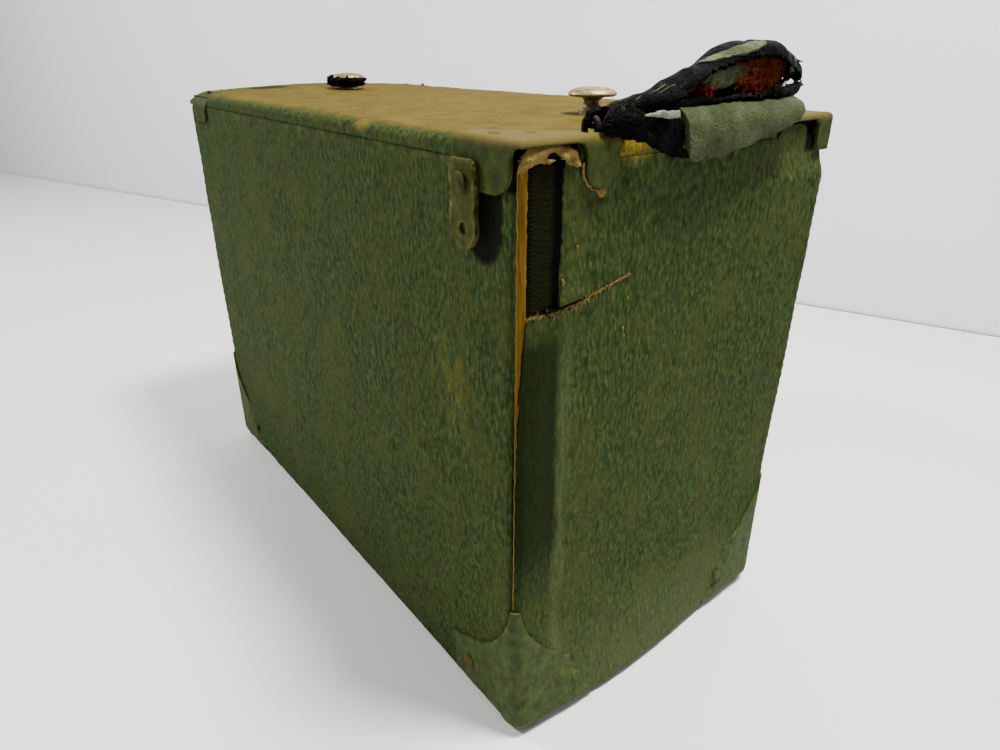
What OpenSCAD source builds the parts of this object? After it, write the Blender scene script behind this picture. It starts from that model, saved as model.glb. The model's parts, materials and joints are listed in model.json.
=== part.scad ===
// Leathercloth-covered carrying case for sheet film holders.
// X runs along the case, Y from front to back and Z up from the floor.
// The origin is on the floor, below the middle of the case.

/* [Case] */
// Overall length of the covered case, left to right
case_l = 200; // [180:1:240]
// Overall width of the covered case, front to back
case_w = 100; // [90:1:140]
// Height from the floor to the top edge of the lid
case_h = 148; // [120:1:200]
// Thickness of the wooden side and end boards
board_t = 5; // [4:0.5:7]
// Thickness of the floor board
floor_t = 5; // [3:0.5:8]
// Thickness of the leathercloth covering
cover_t = 0.8; // [0.5:0.1:1]
// Rounding of the upright edges of the covered case
edge_r = 2; // [1.5:0.25:3]

/* [Lid] */
// Thickness of the lid board
lid_board_t = 3; // [2.5:0.5:6]
// How far the covered lid stays inside the outline of the case
lid_inset = 0.5; // [0.2:0.1:1]
// Height of the crown of the lid above its edges
lid_crown = 1.2; // [0.6:0.1:2]
// Depth of the locating battens under the lid
lip_h = 6; // [4:0.5:10]
// Thickness of the locating battens
lip_t = 4; // [3:0.5:6]

/* [Ears of the end board] */
// Width of each ear that stands up into the lid
ear_w = 13; // [10:0.5:16]
// Rounding of the top corners of an ear
ear_r = 4; // [2:0.5:5]
// Distance from the top edge of the lid down to the top of an ear
ear_drop = 0.9; // [0.7:0.1:1.5]
// Distance from the back of the case to the back ear
back_ear_inset = 8; // [7:0.5:12]
// Open gap behind the back ear, where the end has shrunk
back_ear_gap = 2.4; // [1:0.2:3]

/* [Inside] */
// Thickness of the cloth lining
lining_t = 0.6; // [0.4:0.1:1]
// Thickness of the felt pad on the floor
pad_t = 2; // [1:0.5:4]
// Thickness of the divider board
divider_t = 3; // [2:0.5:5]
// Height of the divider board
divider_h = 110; // [80:1:112]
// Width of the corner glue blocks
block_w = 7; // [5:0.5:9]

/* [Hinges] */
// Length of each hinge
hinge_l = 30; // [20:1:34]
// Distance from the middle of the case to the middle of each hinge
hinge_y = 27; // [20:1:28]
// Outer radius of the hinge knuckles
knuckle_r = 1.7; // [1.5:0.1:2.2]
// Radius of the hinge pins
hinge_pin_r = 0.9; // [0.7:0.1:1]
// Thickness of the hinge leaves
leaf_t = 0.8; // [0.6:0.1:1]

/* [Lid corner irons] */
// Thickness of the pressed corner irons
iron_t = 0.8; // [0.5:0.1:1.2]
// Length of an iron along the long side of the lid
iron_l = 20; // [18:0.5:26]
// Depth of the front and back plates below the top of the lid
iron_drop = 9.3; // [8:0.1:14]
// Width of the lobe that hangs over the end
lobe_w = 8.8; // [7:0.1:11]
// Bare length at the corner, between the iron's front plate and its lobe
relief_w = 15; // [14.5:0.1:18]

/* [Hasps] */
// Width of the swinging hasp
hasp_w = 8.6; // [7:0.1:10]
// Thickness of the hasp
hasp_t = 1; // [0.8:0.1:1.4]
// Distance from the pivot of the hasp to its hole
hasp_reach = 9.1; // [8:0.1:14]
// Radius of the hole in the hasp
hasp_hole_r = 1; // [0.6:0.1:1.5]
// Distance from the end of the case to the pivot of the hasp
hasp_inset = 15.2; // [15:0.1:16]
// Radius of the pivot rivet's shank
pivot_r = 1; // [0.8:0.1:1.2]

/* [Bottom corners] */
// Thickness of the pressed bottom corners
cap_t = 0.9; // [0.6:0.1:1.2]
// Reach of a bottom corner along each side
cap_reach = 25; // [20:0.5:32]
// Height of a bottom corner at its outer end
cap_low = 13; // [9:0.5:16]
// Height of a bottom corner at the upright edge
cap_high = 39; // [30:0.5:50]
// Height of the pressed foot under each bottom corner
foot_h = 1.6; // [1:0.1:3]
// Radius of the pressed foot where it meets the bottom corner
foot_r = 4; // [3:0.25:5]
// Radius of the flat under the foot
foot_flat_r = 2.6; // [1.5:0.1:2.8]

/* [Handle fittings] */
// Distance from the end of the case to the middle of each handle stud
stud_inset = 34; // [26:1:50]
// Radius of the cap of a handle stud
stud_cap_r = 6; // [4:0.25:8]
// Radius of the neck of a handle stud
stud_neck_r = 2; // [1.6:0.1:3]
// Height of a handle stud above the lid
stud_h = 5.6; // [5:0.1:8]
// Thickness of the handle leather
leather_t = 1.4; // [1:0.1:2]
// Radius of the staple wire that holds the handle
staple_r = 0.7; // [0.5:0.1:0.9]

/* [Broken handle] */
// Length of the handle from its staple to its torn end
handle_l = 69.5; // [55:0.5:72]
// Height of the rolled leather above its underside
handle_h = 12.2; // [9:0.1:15]
// Width of the rolled leather
handle_w = 12.5; // [11.5:0.1:14]
// Length of the leather that is torn off and hangs over the end
torn_l = 20; // [16:0.5:24]
// How far the torn leather hangs below the top of the lid
torn_h = 5; // [3:0.1:6]

/* [Torn flap] */
// Distance from the middle of the lid to the front edge of the flap
flap_front = 5.5; // [2:0.1:8]
// Distance from the middle of the lid to the back edge of the flap
flap_back = 36; // [30:0.5:38]
// Thickness of the flap
flap_t = 1.1; // [0.8:0.1:1.3]
// How far the flap hangs below the top of the lid
flap_drop = 5.6; // [3:0.1:8]

/* [Torn covering] */
// Distance from the top edge of the lid down to the tear
tear_drop = 32; // [20:0.5:60]
// Width of the bare strip along the front edge of the end
bare_w = 4; // [2:0.1:6]
// Width of the black tape beside the bare strip
tape_w = 6.4; // [3:0.1:8]
// Length of the tear
tear_l = 30; // [22:0.5:34]

/* [Hidden] */
$fn = 48;

// Clearance between parts that move past each other
gap = 0.3;
// How far a cut runs on past the face that it opens
cut = 1;
// Clearance round a fastener in its hole
fastener_gap = 0.05;
// Running clearance of a pin in its knuckle or hole
run_gap = 0.05;

// Half sizes of the covered case and of its boards
half_l = case_l / 2;
half_w = case_w / 2;
board_l = half_l - cover_t;
board_w = half_w - cover_t;
inner_l = board_l - board_t;
inner_w = board_w - board_t;

// Heights, from the floor up
cover_z = foot_h + cap_t;
carcass_z = cover_z + cover_t;
floor_z = carcass_z + floor_t;
pad_z = floor_z + pad_t;
lid_z = case_h - cover_t - lid_board_t;
seam_z = lid_z - gap;
lip_z = lid_z - lip_h;
iron_z = case_h + iron_t;
iron_low_z = iron_z - iron_drop - iron_t;

// The lid's half sizes, over its covering and over its board
lid_l = half_l - lid_inset;
lid_w = half_w - lid_inset;
lid_board_l = lid_l - cover_t;
lid_board_w = lid_w - cover_t;

// The ears of the right-hand end board and the notches in the lid round them
ear_z = case_h - ear_drop;
front_ear_y = -board_w;
back_ear_y = half_w - back_ear_inset - ear_w;
ear_side_gap = 0.8;
front_notch_end = front_ear_y + ear_w + ear_side_gap;
back_notch_start = back_ear_y - ear_side_gap;
back_notch_end = back_ear_y + ear_w + back_ear_gap;
notch_x = inner_l - 1;

// The torn part of the end covering, at the front edge
tape_t = 0.4;
tear_z = case_h - tear_drop;
tear_rise = 3.6;
tape_z = tear_z + 2;
bare_y = -half_w + bare_w;
tape_y = bare_y + tape_w;
tear_end_y = -half_w + tear_l;
bare_low_z = cover_z + cap_high - 1;

// The lid's corner irons stand clear of the case's sides
iron_in_l = half_l + gap;
iron_in_w = half_w + gap;
iron_r = edge_r + gap;
iron_strip = 1.2;
iron_top_w = 6;
iron_top_l = 18;
iron_edge_w = 2.2;
iron_foot_r = 2.5;
iron_relief = 1.8;
iron_back_lift = 1.3;
iron_out_l = iron_in_l + iron_t;
iron_out_w = iron_in_w + iron_t;
iron_inner_x = half_l - iron_l;
relief_end_y = -half_w + relief_w;
lobe_end_y = relief_end_y + lobe_w;
left_rim_y = hinge_y + hinge_l / 2 + gap;

// The hasp turns on its rivet outside the front plate
hasp_x = half_l - hasp_inset;
hasp_side_gap = 0.2;
hasp_y = iron_out_w + hasp_side_gap;
pivot_end_y = hasp_y + hasp_t + hasp_side_gap;
pivot_z = iron_low_z + 1.5;
pivot_head_r = 2;
pivot_head_h = 0.9;

// Hinges
hinge_x = -half_l - knuckle_r - gap;
hinge_z = lid_z - gap / 2;
leaf_in_x = -half_l + cover_t + board_t - 0.8;
screw_x = -half_l + cover_t + board_t / 2;
screw_spread = hinge_l / 3;
screw_r = 0.7;
screw_head_r = 1.3;
box_screw_l = 7;
lid_screw_l = lid_board_t - 0.4;

// Handle studs
stud_x = half_l - stud_inset;
stud_collar_r = 4;
stud_collar_h = 0.8;
stud_cap_h = 2.6;
stud_cap_edge = 0.8;
stud_base_z = case_h + lid_crown;
stud_shank_r = 1.5;
washer_r = 4;
washer_t = 0.7;
nut_w = 5.5;
nut_t = 1.6;
stud_low_z = lid_z - lining_t - washer_t - nut_t - 0.4;
remnant_z = stud_base_z + stud_collar_h + 0.1;

// Broken handle, turning on the wire of its staple
handle_x1 = half_l + 0.5;
handle_x0 = handle_x1 - handle_w;
staple_inset = 9.8;
staple_w = 6.6;
staple_side = 21.5;
staple_rise = 3.1;
staple_y = -half_w + staple_side;
staple_z = case_h + staple_rise;
staple_x0 = half_l - staple_inset;
staple_x1 = staple_x0 + staple_w;
staple_leg_z = lid_z + 0.5;
tail_r = 1.9;
tail_inset = 1.1;
strap_rise = 4.2;
strap_z = case_h + strap_rise;
torn_x = half_l + 1.6;
torn_x1 = torn_x + leather_t;
pocket_w = 7.5;
pocket_x = handle_x1 - pocket_w;

// ---- helpers ----

// A box given by its lowest and highest corners
module block(low, high) {
    translate(low) cube(high - low);
}

// A flat shape in Y and Z, drawn out along X
module along_x(x0, x1) {
    translate([x0, 0, 0]) rotate([90, 0, 90]) linear_extrude(x1 - x0) children();
}

// A flat shape in X and Z, drawn out along Y
module along_y(y0, y1) {
    translate([0, y1, 0]) rotate([90, 0, 0]) linear_extrude(y1 - y0) children();
}

// A flat shape in X and Y, drawn out along Z
module along_z(z0, z1) {
    translate([0, 0, z0]) linear_extrude(z1 - z0) children();
}

// A box given by any two opposite corners
module block_between(a, b) {
    block([min(a[0], b[0]), min(a[1], b[1]), min(a[2], b[2])],
        [max(a[0], b[0]), max(a[1], b[1]), max(a[2], b[2])]);
}

// A flat shape in X and Z, drawn out along Y between two places in either order
module along_y_between(a, b) {
    along_y(min(a, b), max(a, b)) children();
}

// An upright round bar between two heights
module upright(r, low, high) {
    translate([0, 0, low]) cylinder(r = r, h = high - low);
}

// A flat rectangle given by its corners
module rect(low, high) {
    translate(low) square(high - low);
}

// A rectangle with round corners, centred
module round_rect(half_x, half_y, r) {
    square([2 * half_x, 2 * (half_y - r)], center = true);
    square([2 * (half_x - r), 2 * half_y], center = true);
    for (sx = [-1, 1], sy = [-1, 1])
        translate([sx * (half_x - r), sy * (half_y - r)]) circle(r);
}

// A rectangle whose two lower corners are round
module round_foot_rect(low, high, r) {
    rect([low[0], low[1] + r], high);
    rect([low[0] + r, low[1]], [high[0] - r, high[1]]);
    for (x = [low[0] + r, high[0] - r])
        translate([x, low[1] + r]) circle(r);
}

// A rectangle whose two upper corners are round
module round_head_rect(low, high, r) {
    rect(low, [high[0], high[1] - r]);
    rect(low + [r, 0], [high[0] - r, high[1]]);
    for (x = [low[0] + r, high[0] - r])
        translate([x, high[1] - r]) circle(r);
}

// A domed head that grows along +Z from its flat face
module dome(r, h) {
    ball_r = (r * r + h * h) / (2 * h);
    intersection() {
        translate([0, 0, h - ball_r]) sphere(ball_r);
        cylinder(r = r, h = h);
    }
}

// Distance from the sides of the case to the middle of a foot
foot_inset = 5;

// The four corners of the case, as signs of X and Y
corner_signs = [[1, -1], [1, 1], [-1, -1], [-1, 1]];

// ---- fastener shanks, also used as their own holes ----

// Places along the front and the end where a bottom corner is riveted
rivet_side = 18.7;
rivet_z = 11.4;
rivet_r = 1;
rivet_l = 3;
rivet_head_r = 2;
rivet_head_h = 0.9;

module bottom_rivet_places() {
    for (s = corner_signs) {
        translate([s[0] * (half_l - rivet_side), s[1] * (half_w + cap_t), rivet_z])
            rotate([s[1] * -90, 0, 0]) children();
        translate([s[0] * (half_l + cap_t), s[1] * (half_w - rivet_side), rivet_z])
            rotate([0, s[0] * 90, 0]) children();
    }
}

module bottom_rivet_shanks(extra = 0) {
    depth = cap_t + cover_t + rivet_l;
    bottom_rivet_places() upright(rivet_r + extra, -depth - extra, extra);
}

// The nail in the end of the case, just below the lobe of the corner iron
nail_y = relief_end_y + lobe_w / 2 + 0.9;
nail_z = iron_low_z - 1.5;
nail_r = 0.6;
nail_head_r = 1.1;
nail_head_h = 0.6;

module stop_nail_shank(extra = 0) {
    translate([half_l, nail_y, nail_z]) rotate([0, 90, 0])
        upright(nail_r + extra, -cover_t - rivet_l - extra, extra);
}

// Distances of the two nails of each corner iron from the end and the side of the case
iron_nail_insets = [[13, 4], [9, 10]];
iron_nail_head_r = 1.3;
iron_nail_head_h = 0.45;

module iron_nail_places() {
    for (s = corner_signs, inset = iron_nail_insets)
        translate([s[0] * (half_l - inset[0]), s[1] * (half_w - inset[1]), 0]) children();
}

module iron_nail_shanks(extra = 0) {
    iron_nail_places() upright(nail_r + extra, lid_z + 0.4 - extra, iron_z + extra);
}

module stud_shanks(extra = 0) {
    for (sx = [-1, 1]) translate([sx * stud_x, 0, 0])
        upright(stud_shank_r + extra, stud_low_z - extra, stud_base_z + extra);
}

// Tacks that hold the foot of the torn flap on the lid
tack_r = 0.5;
tack_head_r = 1.2;
tack_head_h = 0.5;
tack_side = 8;

module tack_places() {
    for (y = [tack_side - flap_front, flap_back - tack_side])
        translate([half_l - flap_start + flap_foot_l / 2, y, 0]) children();
}

module tack_shanks(extra = 0) {
    tack_places() upright(tack_r + extra, lid_z + 0.6 - extra, flap_foot_z + flap_t + extra);
}

module staple_legs(extra = 0) {
    for (x = [staple_x0, staple_x1]) translate([x, staple_y, 0])
        upright(staple_r + extra, staple_leg_z - extra, staple_z + extra);
}

module hinge_screw_places() {
    for (sy = [-1, 1], k = [-1, 1])
        translate([screw_x, sy * hinge_y + k * screw_spread, 0]) children();
}

module box_screws(extra = 0) {
    hinge_screw_places() {
        upright(screw_head_r + extra, seam_z - leaf_t, seam_z + extra);
        upright(screw_r + extra, seam_z - box_screw_l - extra, seam_z - leaf_t / 2);
    }
}

module lid_screws(extra = 0) {
    hinge_screw_places() {
        upright(screw_head_r + extra, lid_z - extra, lid_z + leaf_t);
        upright(screw_r + extra, lid_z, lid_z + lid_screw_l + extra);
    }
}

// ---- wooden case ----

module side_board(s) {
    color("tan") difference() {
        block_between([-inner_l, s * inner_w, carcass_z], [inner_l, s * board_w, seam_z]);
        bottom_rivet_shanks(fastener_gap);
    }
}

module front_wall() {
    side_board(-1);
}

module back_wall() {
    side_board(1);
}

// The ears that stand up from the right-hand end board
module ear_outlines() {
    for (y = [front_ear_y, back_ear_y])
        round_head_rect([y, seam_z - cut], [y + ear_w, ear_z], ear_r);
}

module right_end_wall() {
    color("burlywood") difference() {
        union() {
            intersection() {
                along_z(carcass_z, seam_z) round_rect(board_l, board_w, edge_r - cover_t);
                block([inner_l, -board_w, carcass_z], [board_l, board_w, seam_z]);
            }
            along_x(inner_l, board_l) ear_outlines();
        }
        bottom_rivet_shanks(fastener_gap);
        stop_nail_shank(fastener_gap);
    }
}

module left_end_wall() {
    color("burlywood") difference() {
        intersection() {
            along_z(carcass_z, seam_z) round_rect(board_l, board_w, edge_r - cover_t);
            block([-board_l, -board_w, carcass_z], [-inner_l, board_w, seam_z]);
        }
        bottom_rivet_shanks(fastener_gap);
        box_leaf_recesses();
        box_screws(fastener_gap);
    }
}

module floor_board() {
    color("tan") block([-inner_l, -inner_w, carcass_z], [inner_l, inner_w, floor_z]);
}

block_gap = 1;

// Three-sided blocks glued into the upright corners, below the lid's battens
module corner_blocks() {
    color("wheat") for (s = corner_signs)
        along_z(floor_z, lip_z - block_gap) polygon([[s[0] * inner_l, s[1] * inner_w],
            [s[0] * (inner_l - block_w), s[1] * inner_w],
            [s[0] * inner_l, s[1] * (inner_w - block_w)]]);
}

// ---- covering ----

// The skin of the upright sides, as a ring in plan
module skin_ring() {
    difference() {
        round_rect(half_l, half_w, edge_r);
        round_rect(board_l, board_w, edge_r - cover_t);
    }
}

module wrap_cover() {
    color([0.24, 0.28, 0.15]) difference() {
        along_z(cover_z, seam_z) intersection() {
            skin_ring();
            rect([-half_l, -half_w], [half_l - edge_r, half_w]);
        }
        bottom_rivet_shanks(fastener_gap);
        box_leaf_recesses();
    }
}

// Bare front edge, and the torn piece between the edge and the tear
module torn_outline() {
    rect([-half_w, bare_low_z], [bare_y, seam_z]);
    polygon([[-half_w, tear_z + 0.5], [tape_y, tear_z], [tape_y + tape_w, tear_z + 1],
        [tear_end_y, tear_z + tear_rise], [tape_y, tape_z],
        [tape_y, seam_z + cut], [-half_w, seam_z + cut]]);
}

module right_end_cover() {
    color([0.23, 0.27, 0.14]) difference() {
        union() {
            along_z(cover_z, seam_z) intersection() {
                skin_ring();
                rect([half_l - edge_r, -half_w], [half_l, half_w]);
            }
            along_x(board_l, half_l)
                round_head_rect([back_ear_y, seam_z - cut], [back_ear_y + ear_w, ear_z], ear_r);
        }
        along_x(half_l - edge_r - cut, half_l + cut) torn_outline();
        bottom_rivet_shanks(fastener_gap);
        stop_nail_shank(fastener_gap);
    }
}

// Black cloth tape that shows where the covering is torn away
module joint_tape() {
    color([0.09, 0.1, 0.05]) along_x(board_l, board_l + tape_t)
        rect([bare_y, tape_z], [tape_y, seam_z]);
}

module bottom_cover() {
    color([0.2, 0.24, 0.13])
        along_z(cover_z, carcass_z) round_rect(board_l, board_w, edge_r - cover_t);
}

// ---- pressed bottom corners ----

cap_arc_steps = 8;
cap_hollow = 8;

// Points of a curve from a to b that is drawn aside by the vector bulge
function arc_between(a, b, bulge, steps) = [for (i = [0 : steps])
    let (t = i / steps, m = (a + b) / 2 + bulge)
    (1 - t) * (1 - t) * a + 2 * t * (1 - t) * m + t * t * b];

// Outline of a bottom corner on one side, with its corner at the origin
module cap_outline() {
    polygon(concat([[-cap_t, foot_h], [cap_reach, foot_h]],
        arc_between([cap_reach, cap_low], [edge_r, cap_high], [-cap_hollow, -cap_hollow],
            cap_arc_steps),
        [[-cap_t, cap_high]]));
}

module cap_shell() {
    difference() {
        along_z(foot_h, cap_high + cut) round_rect(half_l + cap_t, half_w + cap_t, edge_r + cap_t);
        along_z(cover_z, cap_high + 2 * cut) round_rect(half_l, half_w, edge_r);
    }
}

// The two sides of a bottom corner and the plate that joins them underneath
module cap_sides() {
    translate([half_l, 0, 0]) mirror([1, 0, 0])
        along_y(half_w - edge_r, half_w + cap_t) cap_outline();
    translate([0, half_w, 0]) mirror([0, 1, 0])
        along_x(half_l - edge_r, half_l + cap_t) cap_outline();
    along_z(foot_h, cover_z) polygon([[half_l - cap_reach, half_w + cap_t],
        [half_l + cap_t, half_w + cap_t], [half_l + cap_t, half_w - cap_reach]]);
}

module bottom_corner(s) {
    color([0.21, 0.24, 0.12]) difference() {
        union() {
            intersection() {
                cap_shell();
                into_corner(s) cap_sides();
            }
            translate([s[0] * (half_l - foot_inset), s[1] * (half_w - foot_inset), 0])
                cylinder(r1 = foot_flat_r, r2 = foot_r, h = foot_h);
        }
        bottom_rivet_shanks(fastener_gap);
    }
}

// Mirrors its children into the corner of the given signs
module into_corner(s) {
    mirror([s[0] < 0 ? 1 : 0, 0, 0]) mirror([0, s[1] < 0 ? 1 : 0, 0]) children();
}

module bottom_corner_front_right() {
    bottom_corner([1, -1]);
}

module bottom_corner_back_right() {
    bottom_corner([1, 1]);
}

module bottom_corner_front_left() {
    bottom_corner([-1, -1]);
}

module bottom_corner_back_left() {
    bottom_corner([-1, 1]);
}

module bottom_corner_rivets() {
    color([0.35, 0.2, 0.1]) {
        bottom_rivet_shanks();
        bottom_rivet_places() dome(rivet_head_r, rivet_head_h);
    }
}

// ---- inside ----

module side_lining(s) {
    color([0.15, 0.13, 0.11])
        block_between([-inner_l + block_w, s * inner_w, floor_z],
            [inner_l - block_w, s * (inner_w - lining_t), seam_z]);
}

module end_lining(s) {
    color([0.15, 0.13, 0.11])
        block_between([s * inner_l, -inner_w + block_w, floor_z],
            [s * (inner_l - lining_t), inner_w - block_w, seam_z]);
}

module front_lining() {
    side_lining(-1);
}

module back_lining() {
    side_lining(1);
}

module right_lining() {
    end_lining(1);
}

module left_lining() {
    end_lining(-1);
}

module floor_pad() {
    reach_l = inner_l - lining_t - gap;
    reach_w = inner_w - lining_t - gap;
    color([0.25, 0.12, 0.1]) along_z(floor_z, pad_z)
        polygon([for (s = [[1, 1], [-1, 1], [-1, -1], [1, -1]], first = [0, 1])
            (first == (s[0] * s[1] > 0 ? 0 : 1))
                ? [s[0] * reach_l, s[1] * (reach_w - block_w)]
                : [s[0] * (reach_l - block_w), s[1] * reach_w]]);
}

batten_w = 12;
batten_t = 4;
groove_d = 2.5;

// Grooved battens on the ends, that hold the divider
module divider_battens() {
    color("wheat") for (s = [-1, 1]) {
        outer = s * (inner_l - lining_t);
        inner = outer - s * batten_t;
        groove_x = outer - s * (batten_t - groove_d);
        groove_y = divider_t / 2 + fastener_gap;
        difference() {
            block_between([outer, -batten_w / 2, pad_z], [inner, batten_w / 2, pad_z + divider_h]);
            block_between([inner - s * cut, -groove_y, pad_z - cut],
                [groove_x, groove_y, pad_z + divider_h + cut]);
        }
    }
}

module divider_board() {
    reach = inner_l - lining_t - batten_t + groove_d - fastener_gap;
    color("tan")
        block([-reach, -divider_t / 2, pad_z], [reach, divider_t / 2, pad_z + divider_h]);
}

// ---- hinges ----

knuckle_gap = 0.3;

module hinge_places() {
    for (sy = [-1, 1]) translate([hinge_x, sy * hinge_y, hinge_z]) children();
}

knuckle_l = hinge_l / 3;

// One knuckle of a hinge; they are counted from 0 to 2 along Y
module knuckle(i) {
    start = -hinge_l / 2 + i * knuckle_l + (i > 0 ? knuckle_gap / 2 : 0);
    translate([0, start, 0]) rotate([-90, 0, 0])
        cylinder(r = knuckle_r, h = knuckle_l - (i == 1 ? knuckle_gap : knuckle_gap / 2));
}

// The room that a leaf leaves for a knuckle of the other leaf
module knuckle_room(i) {
    start = -hinge_l / 2 + i * knuckle_l - knuckle_gap / 2;
    block([-knuckle_r - cut, start, -knuckle_r - cut],
        [knuckle_r + gap, start + knuckle_l + knuckle_gap, knuckle_r + cut]);
}

module pin_bore() {
    rotate([90, 0, 0])
        cylinder(r = hinge_pin_r + run_gap, h = hinge_l + 2 * cut, center = true);
}

leaf_w = leaf_in_x - hinge_x;

module hinge_box_leaves() {
    color("darkgoldenrod") difference() {
        hinge_places() difference() {
            union() {
                difference() {
                    block([0, -hinge_l / 2, -gap / 2 - leaf_t], [leaf_w, hinge_l / 2, -gap / 2]);
                    knuckle_room(1);
                }
                knuckle(0);
                knuckle(2);
            }
            pin_bore();
        }
        box_screws(fastener_gap);
    }
}

module hinge_lid_leaves() {
    color("darkgoldenrod") difference() {
        hinge_places() difference() {
            union() {
                difference() {
                    block([0, -hinge_l / 2, gap / 2], [leaf_w, hinge_l / 2, gap / 2 + leaf_t]);
                    knuckle_room(0);
                    knuckle_room(2);
                }
                knuckle(1);
            }
            pin_bore();
        }
        lid_screws(fastener_gap);
    }
}

// Room for the leaves in the top of the end board and under the lid
module leaf_recesses(low, high) {
    recess_w = hinge_l / 2 + fastener_gap;
    for (sy = [-1, 1])
        block([-half_l - cut, sy * hinge_y - recess_w, low],
            [leaf_in_x + fastener_gap, sy * hinge_y + recess_w, high]);
}

module box_leaf_recesses() {
    leaf_recesses(seam_z - leaf_t, seam_z + cut);
}

module lid_leaf_recesses() {
    leaf_recesses(lid_z - cut, lid_z + leaf_t);
}

module hinge_pins() {
    color("silver") hinge_places() rotate([90, 0, 0])
        cylinder(r = hinge_pin_r, h = hinge_l, center = true);
}

module hinge_box_screws() {
    color("goldenrod") box_screws();
}

module hinge_lid_screws() {
    color("goldenrod") lid_screws();
}

module stop_nail() {
    color("gold") {
        stop_nail_shank();
        translate([half_l, nail_y, nail_z]) rotate([0, 90, 0]) dome(nail_head_r, nail_head_h);
    }
}

// ---- lid ----

// Room in the lid for the two ears of the end board
module lid_notches() {
    block([notch_x, -half_w - cut, lid_z - cut], [half_l + cut, front_notch_end, iron_z + cut]);
    block([notch_x, back_notch_start, lid_z - cut], [half_l + cut, back_notch_end, iron_z + cut]);
}

module lid_holes() {
    iron_nail_shanks(fastener_gap);
    stud_shanks(fastener_gap);
    tack_shanks(fastener_gap);
    staple_legs(fastener_gap);
    lid_screws(fastener_gap);
}

module lid_board() {
    color("tan") difference() {
        along_z(lid_z, case_h - cover_t) round_rect(lid_board_l, lid_board_w, edge_r - cover_t);
        lid_notches();
        lid_leaf_recesses();
        lid_holes();
    }
}

// Outline of the crowned lid across one direction, down to its underside
crown_steps = 16;
crown_over = 2;

function crown_outline(half) = concat([[-half - crown_over, lid_z - cut]],
    [for (i = [0 : crown_steps]) let (x = (2 * i / crown_steps - 1) * (half + crown_over))
        [x, case_h + lid_crown * (1 - pow(x / half, 2))]],
    [[half + crown_over, lid_z - cut]]);

// The room under the crowned top of the lid
module crown_room() {
    intersection() {
        along_x(-half_l - cut, half_l + cut) polygon(crown_outline(half_w));
        along_y(-half_w - cut, half_w + cut) polygon(crown_outline(half_l));
    }
}

module lid_cover() {
    color([0.55, 0.47, 0.29]) difference() {
        intersection() {
            along_z(lid_z, case_h + lid_crown + cut) round_rect(lid_l, lid_w, edge_r);
            crown_room();
        }
        along_z(lid_z - cut, case_h - cover_t)
            round_rect(lid_board_l, lid_board_w, edge_r - cover_t);
        for (s = corner_signs) along_z(case_h, iron_z + lid_crown + cut) iron_plan(s);
        lid_notches();
        lid_leaf_recesses();
        lid_holes();
    }
}

// Half sizes over the locating battens
lip_l = inner_l - lining_t - 2 * gap;
lip_w = inner_w - lining_t - 2 * gap;

module lid_lining() {
    color([0.15, 0.13, 0.11]) difference() {
        block([lip_t - lip_l, lip_t - lip_w, lid_z - lining_t],
            [lip_l - lip_t, lip_w - lip_t, lid_z]);
        stud_shanks(fastener_gap);
    }
}

// Battens under the lid that fit inside the case
module lid_side_battens() {
    color("wheat") for (s = [-1, 1])
        block_between([-lip_l, s * lip_w, lip_z], [lip_l, s * (lip_w - lip_t), lid_z]);
}

module lid_end_battens() {
    color("wheat") for (s = [-1, 1])
        block_between([s * lip_l, lip_t - lip_w, lip_z], [s * (lip_l - lip_t), lip_w - lip_t, lid_z]);
}

// ---- corner irons of the lid ----

// Plan of an iron on top of the lid
module iron_plan(s) {
    over = iron_t + 4 * cut;
    mirror([s[0] < 0 ? 1 : 0, 0]) mirror([0, s[1] < 0 ? 1 : 0]) intersection() {
        round_rect(iron_out_l, iron_out_w, iron_r + iron_t);
        polygon([[iron_inner_x, half_w + over], [iron_inner_x, half_w - iron_top_w],
            [half_l - iron_top_w, half_w - iron_top_l], [half_l - iron_edge_w, half_w - iron_top_l],
            [half_l - iron_edge_w, half_w - relief_w - lobe_w],
            [half_l + over, half_w - relief_w - lobe_w], [half_l + over, half_w + over]]);
    }
}

// The bent rim of an iron, before its outline is cut
module iron_rim() {
    difference() {
        along_z(iron_low_z - cut, iron_z) round_rect(iron_out_l, iron_out_w, iron_r + iron_t);
        along_z(iron_low_z - 2 * cut, case_h) round_rect(iron_in_l, iron_in_w, iron_r);
    }
}

// Front or back plate of an iron, as a flat shape in X and Z
module iron_side_outline(sx, relief) {
    mirror([sx < 0 ? 1 : 0, 0]) {
        round_foot_rect([iron_inner_x, iron_low_z], [half_l - relief, iron_z], iron_foot_r);
        rect([iron_inner_x, iron_z - iron_strip], [iron_out_l + cut, iron_z]);
    }
}

module iron_nail_holes() {
    iron_nail_shanks(fastener_gap);
    for (sy = [-1, 1]) pivot_shank(sy, fastener_gap);
}

// Front right: a relief round the corner, and a lobe over the end
module lid_corner_front_right() {
    color([0.21, 0.24, 0.12]) difference() {
        union() {
            along_z(case_h, iron_z) iron_plan([1, -1]);
            intersection() {
                iron_rim();
                union() {
                    along_y(-iron_out_w - cut, -half_w + edge_r) iron_side_outline(1, iron_relief);
                    along_x(half_l - edge_r, iron_out_l + cut) {
                        round_foot_rect([relief_end_y, iron_low_z], [lobe_end_y, iron_z],
                            lobe_w / 2 - 0.1);
                        rect([-iron_out_w - cut, iron_z - iron_strip], [lobe_end_y, iron_z]);
                    }
                }
            }
        }
        iron_nail_holes();
    }
}

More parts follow.
